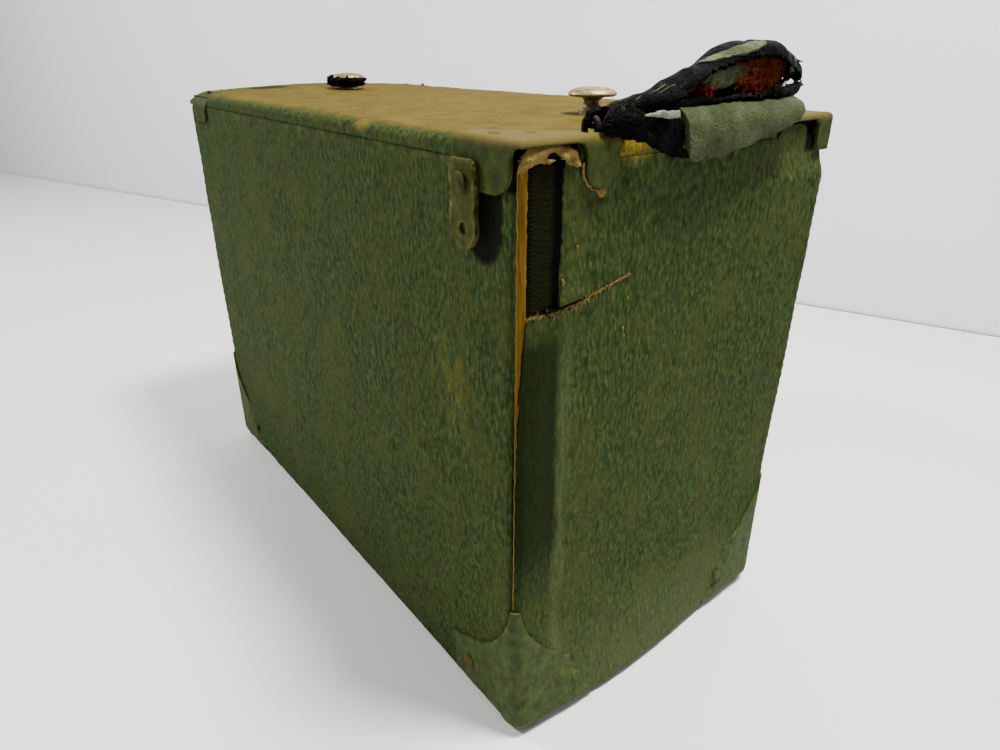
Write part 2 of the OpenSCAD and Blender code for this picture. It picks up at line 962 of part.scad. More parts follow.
// Back right: it stops at the notch of the back ear
module lid_corner_back_right() {
    color([0.21, 0.24, 0.12]) difference() {
        union() {
            along_z(case_h, iron_z) iron_plan([1, 1]);
            intersection() {
                iron_rim();
                union() {
                    along_y(half_w - edge_r, iron_out_w + cut) iron_side_outline(1, 0);
                    along_x(half_l - edge_r, iron_out_l + cut) {
                        rect([back_notch_end, iron_low_z + iron_back_lift],
                            [iron_out_w + cut, iron_z]);
                        rect([half_w - relief_w - lobe_w, iron_z - iron_strip],
                            [iron_out_w + cut, iron_z]);
                    }
                }
            }
        }
        iron_nail_holes();
    }
}

// The irons over the hinges have no plate on the end below the seam
module left_iron(sy) {
    color([0.21, 0.24, 0.12]) difference() {
        union() {
            along_z(case_h, iron_z) iron_plan([-1, sy]);
            intersection() {
                iron_rim();
                union() {
                    along_y_between(sy * (half_w - edge_r), sy * (iron_out_w + cut))
                        iron_side_outline(-1, iron_relief);
                    block_between([-iron_out_l - cut, sy * left_rim_y, lid_z + 2 * gap],
                        [-half_l + edge_r, sy * (iron_out_w + cut), iron_z]);
                }
            }
        }
        iron_nail_shanks(fastener_gap);
    }
}

module lid_corner_front_left() {
    left_iron(-1);
}

module lid_corner_back_left() {
    left_iron(1);
}

module lid_corner_nails() {
    color([0.4, 0.36, 0.26]) {
        iron_nail_shanks();
        iron_nail_places() translate([0, 0, iron_z]) dome(iron_nail_head_r, iron_nail_head_h);
    }
}

// ---- hasps ----

module pivot_shank(sy, extra = 0) {
    along_y_between(sy * iron_in_w, sy * pivot_end_y)
        translate([hasp_x, pivot_z]) circle(pivot_r + extra);
}

module hasp_pivot(sy) {
    color([0.33, 0.27, 0.15]) {
        pivot_shank(sy);
        translate([hasp_x, sy * pivot_end_y, pivot_z]) rotate([sy * -90, 0, 0])
            dome(pivot_head_r, pivot_head_h);
    }
}

module hasp_pivot_front() {
    hasp_pivot(-1);
}

module hasp_pivot_back() {
    hasp_pivot(1);
}

// A flat link, round at both ends, with a pivot hole and an open hole
module hasp(sy) {
    hole_z = pivot_z - hasp_reach;
    color([0.25, 0.28, 0.11]) along_y_between(sy * hasp_y, sy * (hasp_y + hasp_t)) difference() {
        union() {
            rect([hasp_x - hasp_w / 2, hole_z], [hasp_x + hasp_w / 2, pivot_z]);
            for (z = [pivot_z, hole_z]) translate([hasp_x, z]) circle(hasp_w / 2);
        }
        translate([hasp_x, pivot_z]) circle(pivot_r + run_gap);
        translate([hasp_x, hole_z]) circle(hasp_hole_r);
    }
}

module hasp_front() {
    hasp(-1);
}

module hasp_back() {
    hasp(1);
}

// ---- handle fittings ----

// A mushroom-headed stud, turned in one piece with its shank
module handle_stud(sx) {
    cap_z = stud_base_z + stud_h - stud_cap_h;
    color([0.57, 0.51, 0.35]) translate([sx * stud_x, 0, 0]) {
        upright(stud_shank_r, stud_low_z, cap_z);
        upright(stud_collar_r, stud_base_z, stud_base_z + stud_collar_h);
        upright(stud_neck_r, stud_base_z, cap_z + 0.2);
        upright(stud_cap_r, cap_z, cap_z + stud_cap_edge);
        translate([0, 0, cap_z + stud_cap_edge]) dome(stud_cap_r, stud_cap_h - stud_cap_edge);
    }
}

module handle_stud_right() {
    handle_stud(1);
}

module handle_stud_left() {
    handle_stud(-1);
}

module stud_washers() {
    color("silver") for (sx = [-1, 1]) translate([sx * stud_x, 0, lid_z - lining_t - washer_t])
        difference() {
            cylinder(r = washer_r, h = washer_t);
            upright(stud_shank_r + fastener_gap, -cut, washer_t + cut);
        }
}

module stud_nuts() {
    color("silver") for (sx = [-1, 1]) translate([sx * stud_x, 0, lid_z - lining_t - washer_t - nut_t])
        difference() {
            linear_extrude(nut_t) circle(d = nut_w / cos(30), $fn = 6);
            upright(stud_shank_r + fastener_gap, -cut, nut_t + cut);
        }
}

// The torn end of the handle strap, left round the left-hand stud
remnant_r = 8;
remnant_wave = 1.1;
remnant_fray = 0.5;
remnant_narrow = 0.8;

function remnant_edge(a) = remnant_r + remnant_wave * sin(3 * a) + remnant_fray * cos(7 * a);

module strap_remnant() {
    color([0.08, 0.08, 0.07]) translate([-stud_x, 0, 0])
        along_z(remnant_z, remnant_z + leather_t) difference() {
            polygon([for (a = [0 : 20 : 340])
                remnant_edge(a) * [cos(a), remnant_narrow * sin(a)]]);
            circle(stud_neck_r + 0.1);
        }
}

// ---- torn flap over the end of the lid ----

flap_foot_z = case_h + lid_crown / 2;
flap_foot_l = 4;
flap_start = 16;
flap_rise = 3.2;
flap_x = -hinge_x + knuckle_r - flap_t;
flap_low_z = case_h - flap_drop;
flap_low_back_z = case_h + 0.2;
flap_mid_x = flap_x + flap_t / 2;
flap_mid_z = flap_foot_z + flap_t / 2;
flap_over = flap_mid_x - half_l + flap_start;

// Middle line of the bent leather, from its foot on the lid over to its hanging edge
flap_path = [[half_l - flap_start, flap_mid_z], [half_l - flap_start + flap_foot_l, flap_mid_z],
    [flap_mid_x - 0.63 * flap_over, case_h + 0.63 * flap_rise],
    [flap_mid_x - 0.43 * flap_over, case_h + 0.97 * flap_rise],
    [flap_mid_x - 0.22 * flap_over, case_h + flap_rise],
    [flap_mid_x - 0.07 * flap_over, case_h + 0.69 * flap_rise],
    [flap_mid_x, case_h - 0.06 * flap_rise], [flap_mid_x, case_h - 0.62 * flap_rise],
    [flap_mid_x, flap_low_z]];

function unit(v) = v / norm(v);
function turned(v) = [-v[1], v[0]];
function path_normal(p, i) = turned(unit(unit(p[min(i + 1, len(p) - 1)] - p[i] + [0.0001, 0])
    + unit(p[i] - p[max(i - 1, 0)] + [0.0001, 0])));
function beside(p, d) = [for (i = [0 : len(p) - 1]) p[i] + d * path_normal(p, i)];
function reversed(p) = [for (i = [len(p) - 1 : -1 : 0]) p[i]];

module end_flap() {
    color([0.29, 0.32, 0.19]) difference() {
        along_y(-flap_front, flap_back) polygon(concat(beside(flap_path, flap_t / 2),
            reversed(beside(flap_path, -flap_t / 2))));
        along_x(half_l + 0.5, flap_x + flap_t + cut) polygon([[-flap_front - cut, flap_low_z - cut],
            [flap_back + cut, flap_low_z - cut], [flap_back + cut, flap_low_back_z],
            [-flap_front, flap_low_z + 0.4]]);
        tack_shanks(fastener_gap);
    }
}

module flap_tacks() {
    color([0.3, 0.27, 0.2]) {
        tack_shanks();
        tack_places() translate([0, 0, flap_foot_z + flap_t]) dome(tack_head_r, tack_head_h);
    }
}

// ---- broken handle ----

module handle_staple() {
    color([0.35, 0.33, 0.28]) {
        staple_legs();
        translate([0, staple_y, staple_z]) rotate([0, 90, 0])
            upright(staple_r, staple_x0, staple_x1);
        for (x = [staple_x0, staple_x1]) translate([x, staple_y, staple_z]) sphere(staple_r);
    }
}

// Side views of the handle, as shares of its length from the staple and of its height
handle_shape = [[0.03, -0.2], [0.12, -0.07], [0.16, 0], [0.92, 0], [0.99, 0.03], [1, 0.33],
    [0.96, 0.76], [0.8, 0.97], [0.65, 1], [0.58, 0.98], [0.51, 0.85], [0.42, 0.64], [0.34, 0.47],
    [0.25, 0.34], [0.17, 0.21], [0.09, 0.11], [0.02, -0.02]];
pocket_shape = [[0.47, 0.16], [0.95, 0.16], [0.94, 0.66], [0.79, 0.84], [0.65, 0.85], [0.58, 0.79]];
padding_shape = [[0.53, 0.25], [0.93, 0.25], [0.91, 0.49], [0.79, 0.57], [0.65, 0.57]];
strip_shape = [[0.62, 0.62], [0.8, 0.62], [0.91, 0.54], [0.89, 0.64], [0.8, 0.74], [0.66, 0.75]];

// The torn leather and the bridge to it, as shares of its length and of its height
torn_shape = [[0.15, 0.16], [0.47, -0.24], [0.72, -0.7], [1.02, -1.04], [0.97, -0.2], [0.92, 1],
    [0.4, 0.88]];
bridge_shape = [[0.45, -0.08], [0.92, 0], [0.92, 0.24], [0.45, 0.12]];

// A side view in shares, drawn at a length and a height from the staple
module side_view(shares, base_z, length, height) {
    translate([staple_y, base_z]) polygon([for (p = shares) [p[0] * length, p[1] * height]]);
}

module handle_view(shares) {
    side_view(shares, strap_z, handle_l, handle_h);
}

// The end of the leather that is folded round the staple
module handle_tail() {
    translate([0, staple_y, staple_z]) rotate([0, 90, 0])
        upright(tail_r, staple_x0 + tail_inset, staple_x1 - tail_inset);
    along_x(staple_x0 + tail_inset, staple_x1 - tail_inset) translate([staple_y, staple_z])
        polygon([[0, -tail_r], [2 * tail_r, -tail_r / 2], [2 * tail_r, tail_r], [0, tail_r]]);
}

module staple_room() {
    translate([0, staple_y, staple_z]) rotate([0, 90, 0]) cylinder(r = staple_r + run_gap, h = case_l);
    for (x = [staple_x0, staple_x1]) translate([x, staple_y, staple_z]) {
        cylinder(r = staple_r + gap, h = case_h, center = true);
        sphere(staple_r + gap);
    }
}

module handle_leather() {
    color([0.07, 0.07, 0.06]) difference() {
        union() {
            along_x(handle_x0, handle_x1) handle_view(handle_shape);
            handle_tail();
            along_x(torn_x, torn_x1) side_view(torn_shape, case_h, torn_l, torn_h);
            along_x(handle_x1 - 0.2, torn_x1) side_view(bridge_shape, strap_z, torn_l, torn_h);
        }
        along_x(pocket_x, handle_x1 + cut) handle_view(pocket_shape);
        staple_room();
    }
}

// Frayed filling that shows in the open side of the handle
module handle_padding() {
    color([0.5, 0.16, 0.06]) along_x(pocket_x, handle_x1 - 1) handle_view(padding_shape);
}

// Stiff strip that lies along the top of the filling
module handle_strip() {
    color([0.32, 0.35, 0.24]) along_x(pocket_x, handle_x1 - 0.6) handle_view(strip_shape);
}

front_wall();
back_wall();
right_end_wall();
left_end_wall();
floor_board();
corner_blocks();
wrap_cover();
right_end_cover();
joint_tape();
bottom_cover();
bottom_corner_front_right();
bottom_corner_back_right();
bottom_corner_front_left();
bottom_corner_back_left();
bottom_corner_rivets();
front_lining();
back_lining();
right_lining();
left_lining();
floor_pad();
divider_battens();
divider_board();
hinge_box_leaves();
hinge_pins();
hinge_box_screws();
stop_nail();
lid_board();
lid_cover();
lid_lining();
lid_side_battens();
lid_end_battens();
lid_corner_front_right();
lid_corner_back_right();
lid_corner_front_left();
lid_corner_back_left();
lid_corner_nails();
hinge_lid_leaves();
hinge_lid_screws();
handle_stud_right();
handle_stud_left();
stud_washers();
stud_nuts();
strap_remnant();
end_flap();
flap_tacks();
handle_staple();
hasp_pivot_front();
hasp_pivot_back();
hasp_front();
hasp_back();
handle_leather();
handle_padding();
handle_strip();
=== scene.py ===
"""A worn, leathercloth-covered carrying case for sheet film holders, dressed around its CAD frame.

Lengths are in millimetres until a mesh is made; the frame and Blender's objects are in metres.
"""

import json
import math

import bpy
import numpy as np
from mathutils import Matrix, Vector
from mathutils.geometry import delaunay_2d_cdt


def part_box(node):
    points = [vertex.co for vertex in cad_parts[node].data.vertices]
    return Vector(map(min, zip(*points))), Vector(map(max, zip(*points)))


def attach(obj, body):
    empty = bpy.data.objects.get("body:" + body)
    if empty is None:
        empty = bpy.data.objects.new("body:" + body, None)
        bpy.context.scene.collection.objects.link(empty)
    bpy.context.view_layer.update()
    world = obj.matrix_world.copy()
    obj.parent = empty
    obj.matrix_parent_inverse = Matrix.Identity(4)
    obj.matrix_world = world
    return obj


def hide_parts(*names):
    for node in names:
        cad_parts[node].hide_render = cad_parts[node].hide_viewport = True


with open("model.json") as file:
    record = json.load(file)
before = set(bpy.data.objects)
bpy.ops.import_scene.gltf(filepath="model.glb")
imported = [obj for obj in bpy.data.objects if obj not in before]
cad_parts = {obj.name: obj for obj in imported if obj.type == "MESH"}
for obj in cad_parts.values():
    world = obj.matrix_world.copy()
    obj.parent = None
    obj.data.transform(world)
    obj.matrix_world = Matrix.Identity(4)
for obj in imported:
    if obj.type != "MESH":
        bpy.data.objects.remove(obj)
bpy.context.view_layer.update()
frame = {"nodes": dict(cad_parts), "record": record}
MM = 0.001


def mm_box(node):
    """Lowest and highest corner of a CAD node, in millimetres."""
    return [np.array(corner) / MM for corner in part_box(node)]


WRAP_LOW, WRAP_HIGH = mm_box("wrap_cover")
END_HIGH = mm_box("right_end_cover")[1]
WALL_HIGH = mm_box("right_end_wall")[1]
LID_LOW, LID_HIGH = mm_box("lid_cover")
TAPE_LOW, TAPE_HIGH = mm_box("joint_tape")
IRON_LOW, IRON_HIGH = mm_box("lid_corner_front_right")
REAR_IRON_LOW, REAR_IRON_HIGH = mm_box("lid_corner_back_right")
CAP_LOW, CAP_HIGH = mm_box("bottom_corner_front_right")
HASP_LOW, HASP_HIGH = mm_box("hasp_front")
HALF_L = END_HIGH[0]
HALF_W = WRAP_HIGH[1]
EDGE_R = END_HIGH[0] - WRAP_HIGH[0]
BASE_Z = WRAP_LOW[2]
SEAM_Z = WRAP_HIGH[2]
EAR_Z = END_HIGH[2]
COVER_T = HALF_L - WALL_HIGH[0]
TEAR_Y = -HALF_W + 30.0
TEAR_Z = TAPE_LOW[2]
RUST_Y = IRON_HIGH[1] + 4.7
PADDING_CENTER = sum(mm_box("handle_padding")) / 2.0 + (1.5, 3.0, 1.5)
CORNERS = {"front_right": (1, -1), "back_right": (1, 1), "front_left": (-1, -1),
           "back_left": (-1, 1)}


# ---- scene: floor, wall, light and camera ----

CAMERA_LENS = 25.07
CAMERA_SENSOR = 36.0
CAMERA_PLACE = (0.19736, -0.12924, 0.16326)
CAMERA_WAY = (-0.718, 0.551, -0.425)
WALL_FOOT = (-0.0423, 0.321, 0.0)
WALL_WAY = (0.934, 0.356, 0.0)
WALL_HALF = 3.0
WALL_TOP = 2.5
STAGE_DEPTH = 5.0

def link(obj):
    bpy.context.scene.collection.objects.link(obj)
    return obj


def add_camera():
    """The photograph's camera, as fitted to the corners of the case; places are in metres."""
    data = bpy.data.cameras.new("camera")
    data.lens = CAMERA_LENS
    data.sensor_width = CAMERA_SENSOR
    data.clip_start = 0.005
    camera = link(bpy.data.objects.new("camera", data))
    camera.location = CAMERA_PLACE
    camera.rotation_euler = Vector(CAMERA_WAY).to_track_quat("-Z", "Y").to_euler()
    bpy.context.scene.camera = camera


def add_light(name, place, aim, size, watts, tint):
    """A round, soft lamp at a place, turned to an aim; both are in metres."""
    data = bpy.data.lights.new(name, "AREA")
    data.shape = "DISK"
    data.size = size
    data.energy = watts
    data.color = tint
    light = link(bpy.data.objects.new(name, data))
    light.location = place
    light.rotation_euler = (Vector(aim) - Vector(place)).to_track_quat("-Z", "Y").to_euler()


def add_world(color, strength):
    world = bpy.data.worlds.new("room")
    world.use_nodes = True
    background = world.node_tree.nodes["Background"]
    background.inputs["Color"].default_value = (*color, 1.0)
    background.inputs["Strength"].default_value = strength
    bpy.context.scene.world = world


# ---- material building ----


class Look:
    """A Principled material and the nodes that feed it, in the object's own millimetres."""

    def __init__(self, name, roughness=0.6, metallic=0.0, specular=0.5):
        self.material = bpy.data.materials.new(name)
        self.material.use_nodes = True
        self.tree = self.material.node_tree
        self.shader = self.tree.nodes["Principled BSDF"]
        self.shader.inputs["Roughness"].default_value = roughness
        self.shader.inputs["Metallic"].default_value = metallic
        self.shader.inputs["Specular IOR Level"].default_value = specular
        self.place = self.node("ShaderNodeTexCoord").outputs["Object"]

    def node(self, kind, inputs=(), **settings):
        """A new node with its settings, whose inputs are linked or filled with values."""
        made = self.tree.nodes.new(kind)
        for key, value in settings.items():
            setattr(made, key, value)
        for key, value in dict(inputs).items():
            if isinstance(value, bpy.types.NodeSocket):
                self.tree.links.new(value, made.inputs[key])
            else:
                made.inputs[key].default_value = value
        return made

    def stretched(self, size):
        """Coordinates counted in features of the given size, along X, Y and Z or all three."""
        scale = [1.0 / (MM * s) for s in np.broadcast_to(size, 3)]
        inputs = {"Vector": self.place, "Scale": scale}
        return self.node("ShaderNodeMapping", inputs).outputs["Vector"]

    def noise(self, size, detail=4.0, rough=0.55, bend=0.0):
        inputs = {"Vector": self.stretched(size), "Scale": 1.0, "Detail": detail,
                  "Roughness": rough, "Distortion": bend}
        return self.node("ShaderNodeTexNoise", inputs).outputs["Fac"]

    def cells(self, size, feature="F1", randomness=1.0):
        inputs = {"Vector": self.stretched(size), "Scale": 1.0, "Randomness": randomness}
        made = self.node("ShaderNodeTexVoronoi", inputs, feature=feature)
        return made.outputs["Distance"]

    def ramp(self, factor, stops):
        """A color that runs through the stops, each a place from 0 to 1 and a color."""
        made = self.node("ShaderNodeValToRGB", {"Fac": factor})
        elements = made.color_ramp.elements
        while len(elements) < len(stops):
            elements.new(0.5)
        for element, (at, color) in zip(elements, stops):
            element.position = at
            element.color = (*color, 1.0)
        return made.outputs["Color"]

    def band(self, factor, low, high):
        """0 below low and 1 above high; low may be the larger of the two."""
        inputs = {0: factor, 1: low, 2: high, 3: 0.0, 4: 1.0}
        if low > high:
            inputs = {0: factor, 1: high, 2: low, 3: 1.0, 4: 0.0}
        return self.node("ShaderNodeMapRange", inputs, clamp=True).outputs[0]

    def mix(self, factor, a, b):
        """Color a where factor is 0 and color b where it is 1."""
        made = self.node("ShaderNodeMix", data_type="RGBA")
        for index, value in ((0, factor), (6, a), (7, b)):
            if isinstance(value, bpy.types.NodeSocket):
                self.tree.links.new(value, made.inputs[index])
            elif index == 0:
                made.inputs[index].default_value = value
            else:
                made.inputs[index].default_value = (*value, 1.0)
        return made.outputs[2]

    def math(self, operation, a, b=0.0):
        return self.node("ShaderNodeMath", {0: a, 1: b}, operation=operation).outputs[0]

    def times(self, a, b):
        return self.math("MULTIPLY", a, b)

    def plus(self, a, b):
        return self.math("ADD", a, b)

    def cover(self, tone, cover, color, share=1.0):
        """A tone with a color laid over it where cover is 1, at most by a share."""
        return self.mix(cover if share == 1.0 else self.times(cover, share), tone, color)

    def axis(self, name):
        """One coordinate of the place, in millimetres."""
        split = self.node("ShaderNodeSeparateXYZ", {0: self.place}).outputs[name]
        return self.math("DIVIDE", split, MM)

    def spot(self, center, radii):
        """1 at a place, falling to 0 at the given distances from it."""
        split = self.node("ShaderNodeVectorMath", {0: self.place, 1: [c * MM for c in center]},
                          operation="SUBTRACT").outputs[0]
        scale = [1.0 / (MM * r) for r in radii]
        near = self.node("ShaderNodeVectorMath", {0: split, 1: scale},
                         operation="MULTIPLY").outputs[0]
        away = self.node("ShaderNodeVectorMath", {0: near}, operation="LENGTH").outputs["Value"]
        return self.band(away, 1.0, 0.35)

    def color(self, value):
        socket = self.shader.inputs["Base Color"]
        if isinstance(value, bpy.types.NodeSocket):
            self.tree.links.new(value, socket)
        else:
            socket.default_value = (*value, 1.0)

    def roughness(self, value):
        self.tree.links.new(value, self.shader.inputs["Roughness"])

    def bump(self, height, depth, under=None):
        inputs = {"Height": height, "Distance": depth * MM, "Strength": 1.0}
        if under is not None:
            inputs["Normal"] = under
        made = self.node("ShaderNodeBump", inputs).outputs["Normal"]
        self.tree.links.new(made, self.shader.inputs["Normal"])
        return made


def leathercloth(name, dark, mid, light, dust=None):
    """Embossed cloth with upright creases and small pebbles, mottled with age."""
    look = Look(name, roughness=0.8, specular=0.05)
    creases = look.noise((0.65, 0.65, 2.6), detail=6.0, rough=0.7, bend=0.5)
    pebbles = look.cells((0.9, 0.9, 1.6), feature="SMOOTH_F1")
    grain = look.noise((0.35, 0.35, 0.5), detail=2.0)
    blotches = look.noise((16.0, 16.0, 26.0), detail=5.0, rough=0.65)
    tone = look.ramp(creases, ((0.27, dark), (0.52, mid), (0.76, light)))
    tone = look.mix(look.band(pebbles, 0.3, 0.85), tone, dark)
    brown = look.mix(0.5, mid, (0.065, 0.056, 0.01))
    tone = look.cover(tone, look.band(blotches, 0.48, 0.68), brown, 0.6)
    tints = look.band(look.noise((1.9, 1.9, 4.4), detail=4.0, rough=0.7), 0.5, 0.68)
    tone = look.cover(tone, tints, (0.016, 0.052, 0.016), 0.42)
    specks = look.band(look.cells((2.6, 2.6, 3.4)), 0.16, 0.05)
    tone = look.cover(tone, specks, (0.1, 0.115, 0.062), 0.4)
    if dust is not None:
        tone = dust(look, tone)
    look.color(tone)
    look.roughness(look.band(creases, -2.2, 1.2))
    first = look.bump(look.math("SUBTRACT", creases, pebbles), 0.32)
    look.bump(grain, 0.07, under=first)
    return look.material


GREEN_DARK = (0.0085, 0.014, 0.003)
GREEN_MID = (0.034, 0.054, 0.0115)
GREEN_LIGHT = (0.09, 0.115, 0.042)
OCHRE_RUST = (0.2, 0.14, 0.012)
NEAR_BLACK = (0.002, 0.002, 0.001)


def end_wear(look, tone):
    """Rust below the handle, and painted light: shade in a band beside the bare edge, a highlight
    along the ridge beside it, and a paler foot where the swollen end faces up to the light.

    The shade in the gap beside the rear ear is painted near black too, so it stays when the lid opens.
    """
    y = look.axis("Y")
    z = look.axis("Z")
    wobble = look.times(look.noise((3.0, 3.0, 9.0)), 5.0)
    side = look.plus(y, wobble)
    front, cap_z = -HALF_W, CAP_HIGH[2]
    # Painted shade: a dark band from the bare front edge to the ridge, below the tear.
    strip = look.times(look.band(side, front + 15.5, front + 13.0),
                       look.band(z, TEAR_Z - 4.0, TEAR_Z - 10.0))
    strip = look.times(strip, look.band(z, cap_z - 3.0, cap_z + 21.0))
    tone = look.cover(tone, strip, (0.005, 0.01, 0.001), 0.86)
    # Painted highlight: a lighter line along the ridge beside the shaded band.
    ridge = look.times(look.band(side, front + 12.5, front + 14.5),
                       look.band(side, front + 17.5, front + 15.5))
    ridge = look.times(ridge, look.band(z, TEAR_Z - 2.0, TEAR_Z - 18.0))
    tone = look.cover(tone, ridge, (0.15, 0.19, 0.08), 0.16)
    rust = look.spot((HALF_L, RUST_Y, SEAM_Z + 2.1), (9.0, 8.0, 4.5))
    broken = look.band(look.noise(1.6), 0.38, 0.6)
    tone = look.mix(look.times(rust, broken), tone, OCHRE_RUST)
    chips = look.spot((HALF_L, TEAR_Y - 1.0, TEAR_Z - 8.0), (3.0, 2.4, 8.0))
    chipped = look.band(look.noise((0.9, 0.9, 1.2)), 0.62, 0.68)
    tone = look.mix(look.times(chips, chipped), tone, (0.2, 0.12, 0.02))
    # Painted shade: near black in the gap beside the rear ear.
    gap_shade = look.times(look.band(y, HALF_W - 9.3, HALF_W - 8.7),
                     look.band(y, HALF_W - 4.6, HALF_W - 5.2))
    gap_shade = look.times(gap_shade, look.band(z, SEAM_Z - 4.5, SEAM_Z - 3.5))
    tone = look.cover(tone, gap_shade, (0.001, 0.001, 0.001), 0.95)
    # Painted highlight: the foot is paler where the swollen end faces up to the light.
    foot = look.times(look.band(z, cap_z - 5.0, BASE_Z + 1.5), 0.28)
    return look.mix(foot, tone, (0.11, 0.13, 0.06))


def side_wear(look, tone):
    """Scuffs along the top edge, and painted shadow beside the front hasp and behind its hole.

    The shadow that the hasp and its plate cast on the covering is painted near black, so it
    stays when the hasp swings.
    """
    z = look.axis("Z")
    scuff = look.band(look.noise((5.0, 5.0, 2.0)), 0.5, 0.62)
    edge = look.times(look.band(z, SEAM_Z - 3.4, SEAM_Z + 0.1), scuff)
    tone = look.cover(tone, edge, (0.12, 0.11, 0.03), 0.4)
    scar = look.spot((HALF_L - 24.0, -HALF_W, SEAM_Z - 51.9), (12.0, 3.0, 22.0))
    scar = look.times(scar, look.band(look.noise((3.0, 3.0, 6.0)), 0.45, 0.7))
    tone = look.cover(tone, scar, (0.12, 0.11, 0.015), 0.45)
    # Painted shadow: near black to the right of and below the hasp and its plate, and behind its hole.
    x = look.axis("X")
    fray = look.times(look.noise(1.2, detail=3.0), 1.6)
    x = look.plus(x, fray)
    z = look.plus(z, fray)
    beside = HASP_HIGH[0]
    side = look.times(look.band(x, beside + 6.8, beside + 6.2),
                      look.band(x, beside - 1.1, beside - 0.1))
    side = look.times(side, look.times(look.band(z, SEAM_Z - 14.7, SEAM_Z - 13.7),
                                       look.band(z, SEAM_Z - 2.4, SEAM_Z - 2.9)))
    round_end = look.spot((beside - 0.1, -HALF_W, SEAM_Z - 14.3), (6.4, 12.0, 6.0))
    corner = look.times(look.band(x, HALF_L - 3.4, HALF_L - 2.6),
                        look.band(z, SEAM_Z - 4.3, SEAM_Z - 3.3))
    corner = look.math("MAXIMUM", look.band(round_end, 0.1, 0.4), corner)
    hole = look.spot((HASP_LOW[0] + 4.3, -HALF_W, SEAM_Z - 12.8), (3.2, 12.0, 3.2))
    painted_shadow = look.math("MAXIMUM", look.math("MAXIMUM", side, corner), look.band(hole, 0.1, 0.5))
    painted_shadow = look.times(painted_shadow, look.band(look.axis("Y"), -HALF_W + 20.0, -HALF_W + 10.0))
    return look.cover(tone, painted_shadow, NEAR_BLACK, 0.95)


def lid_wear(look, tone):
    """The lid's sides stay green; its top is buried in tan dust."""
    z = look.axis("Z")
    x = look.axis("X")
    y = look.axis("Y")
    patchy = look.noise(7.0, detail=6.0, rough=0.7)
    fine = look.noise(0.9, detail=5.0, rough=0.75)
    tan = look.ramp(look.mix(0.5, patchy, fine), ((0.33, (0.042, 0.029, 0.003)),
                    (0.5, (0.078, 0.056, 0.0065)), (0.66, (0.128, 0.094, 0.018))))
    grit = look.band(look.cells(1.5), 0.13, 0.06)
    tan = look.mix(look.times(grit, 0.5), tan, (0.05, 0.036, 0.012))
    top = look.band(look.plus(z, look.times(patchy, 1.5)), LID_HIGH[2] - 1.3, LID_HIGH[2] - 0.2)
    left = look.band(look.plus(x, look.times(patchy, 30.0)), 20.0 - HALF_L, 38.0 - HALF_L)
    front = look.band(look.plus(y, look.times(patchy, 7.0)), 3.5 - HALF_W, 7.0 - HALF_W)
    cover = look.times(top, look.band(left, -0.5, 1.0))
    cover = look.times(cover, look.band(front, -0.7, 1.0))
    tone = look.mix(cover, tone, tan)
    rust = look.spot((HALF_L, RUST_Y, SEAM_Z + 3.1), (7.0, 8.5, 5.0))
    rust = look.times(rust, look.band(fine, 0.36, 0.56))
    tone = look.mix(rust, tone, OCHRE_RUST)
    rubbed = look.spot((HALF_L - 60.5, -HALF_W, SEAM_Z + 3.1), (5.0, 4.0, 2.2))
    tone = look.cover(tone, rubbed, (0.15, 0.11, 0.022), 0.8)
    hole = look.spot((14.0 - HALF_L, 26.0 - HALF_W, LID_HIGH[2] + 1.3), (7.0, 9.5, 6.0))
    return look.mix(look.band(hole, 0.0, 0.5), tone, (0.008, 0.014, 0.003))


def wood(name, pale, deep, along, dark_above=None):
    """Old softwood: rings drawn out along the grain, with fine pores.

    Above a height it may be coloured over: the end board is painted near black there, as
    shade under the lid's edge, and the lid's board is hidden where its edge comes through the
    rounded left irons.
    """
    look = Look(name, roughness=0.75, specular=0.06)
    size = [1.6, 1.6, 1.6]
    size["XYZ".index(along)] = 34.0
    rings = look.noise(size, detail=5.0, rough=0.6, bend=1.2)
    pores = look.noise([s * 0.25 for s in size], detail=2.0)
    stain = look.noise(12.0)
    tone = look.ramp(rings, ((0.3, deep), (0.55, pale), (0.75, deep)))
    tone = look.mix(look.band(pores, 0.42, 0.6), look.mix(0.5, tone, deep), tone)
    tone = look.cover(tone, look.band(stain, 0.5, 0.75), deep, 0.5)
    # Above the height the colour is laid over: painted shade on the end board, under the lid's edge; on
    # the lid's board a dark green that hides its edge.
    if dark_above is not None:
        height, above_color = dark_above
        tone = look.mix(look.band(look.axis("Z"), height - 0.5, height + 0.5), tone, above_color)
    look.color(tone)
    look.bump(rings, 0.12, under=look.bump(pores, 0.05))
    return look.material


def painted_iron(name, base, worn, rust, top=None):
    """Dull enamel over pressed steel, rubbed through at its edges and freckled with rust."""
    look = Look(name, roughness=0.66, specular=0.07)
    mottle = look.noise((2.4, 2.4, 3.0), detail=6.0, rough=0.7)
    fine = look.noise(0.3, detail=3.0)
    edge = look.node("ShaderNodeNewGeometry").outputs["Pointiness"]
    tone = look.ramp(mottle, ((0.32, [c * 0.5 for c in base]), (0.55, base),
                              (0.74, [c * 1.6 for c in base])))
    freckle = look.band(look.noise(1.1, detail=4.0), 0.6, 0.68)
    tone = look.cover(tone, freckle, rust, 0.75)
    rubbed = look.times(look.band(edge, 0.56, 0.72), look.band(mottle, 0.42, 0.66))
    tone = look.cover(tone, rubbed, worn, 0.55)
    if top is not None:
        z = look.plus(look.axis("Z"), look.times(mottle, 1.2))
        dust = look.times(look.band(z, top - 1.2, top + 0.6), 0.85)
        tone = look.mix(dust, tone, (0.078, 0.058, 0.009))
    look.color(tone)
    look.bump(fine, 0.06, under=look.bump(mottle, 0.14))
    return look.material


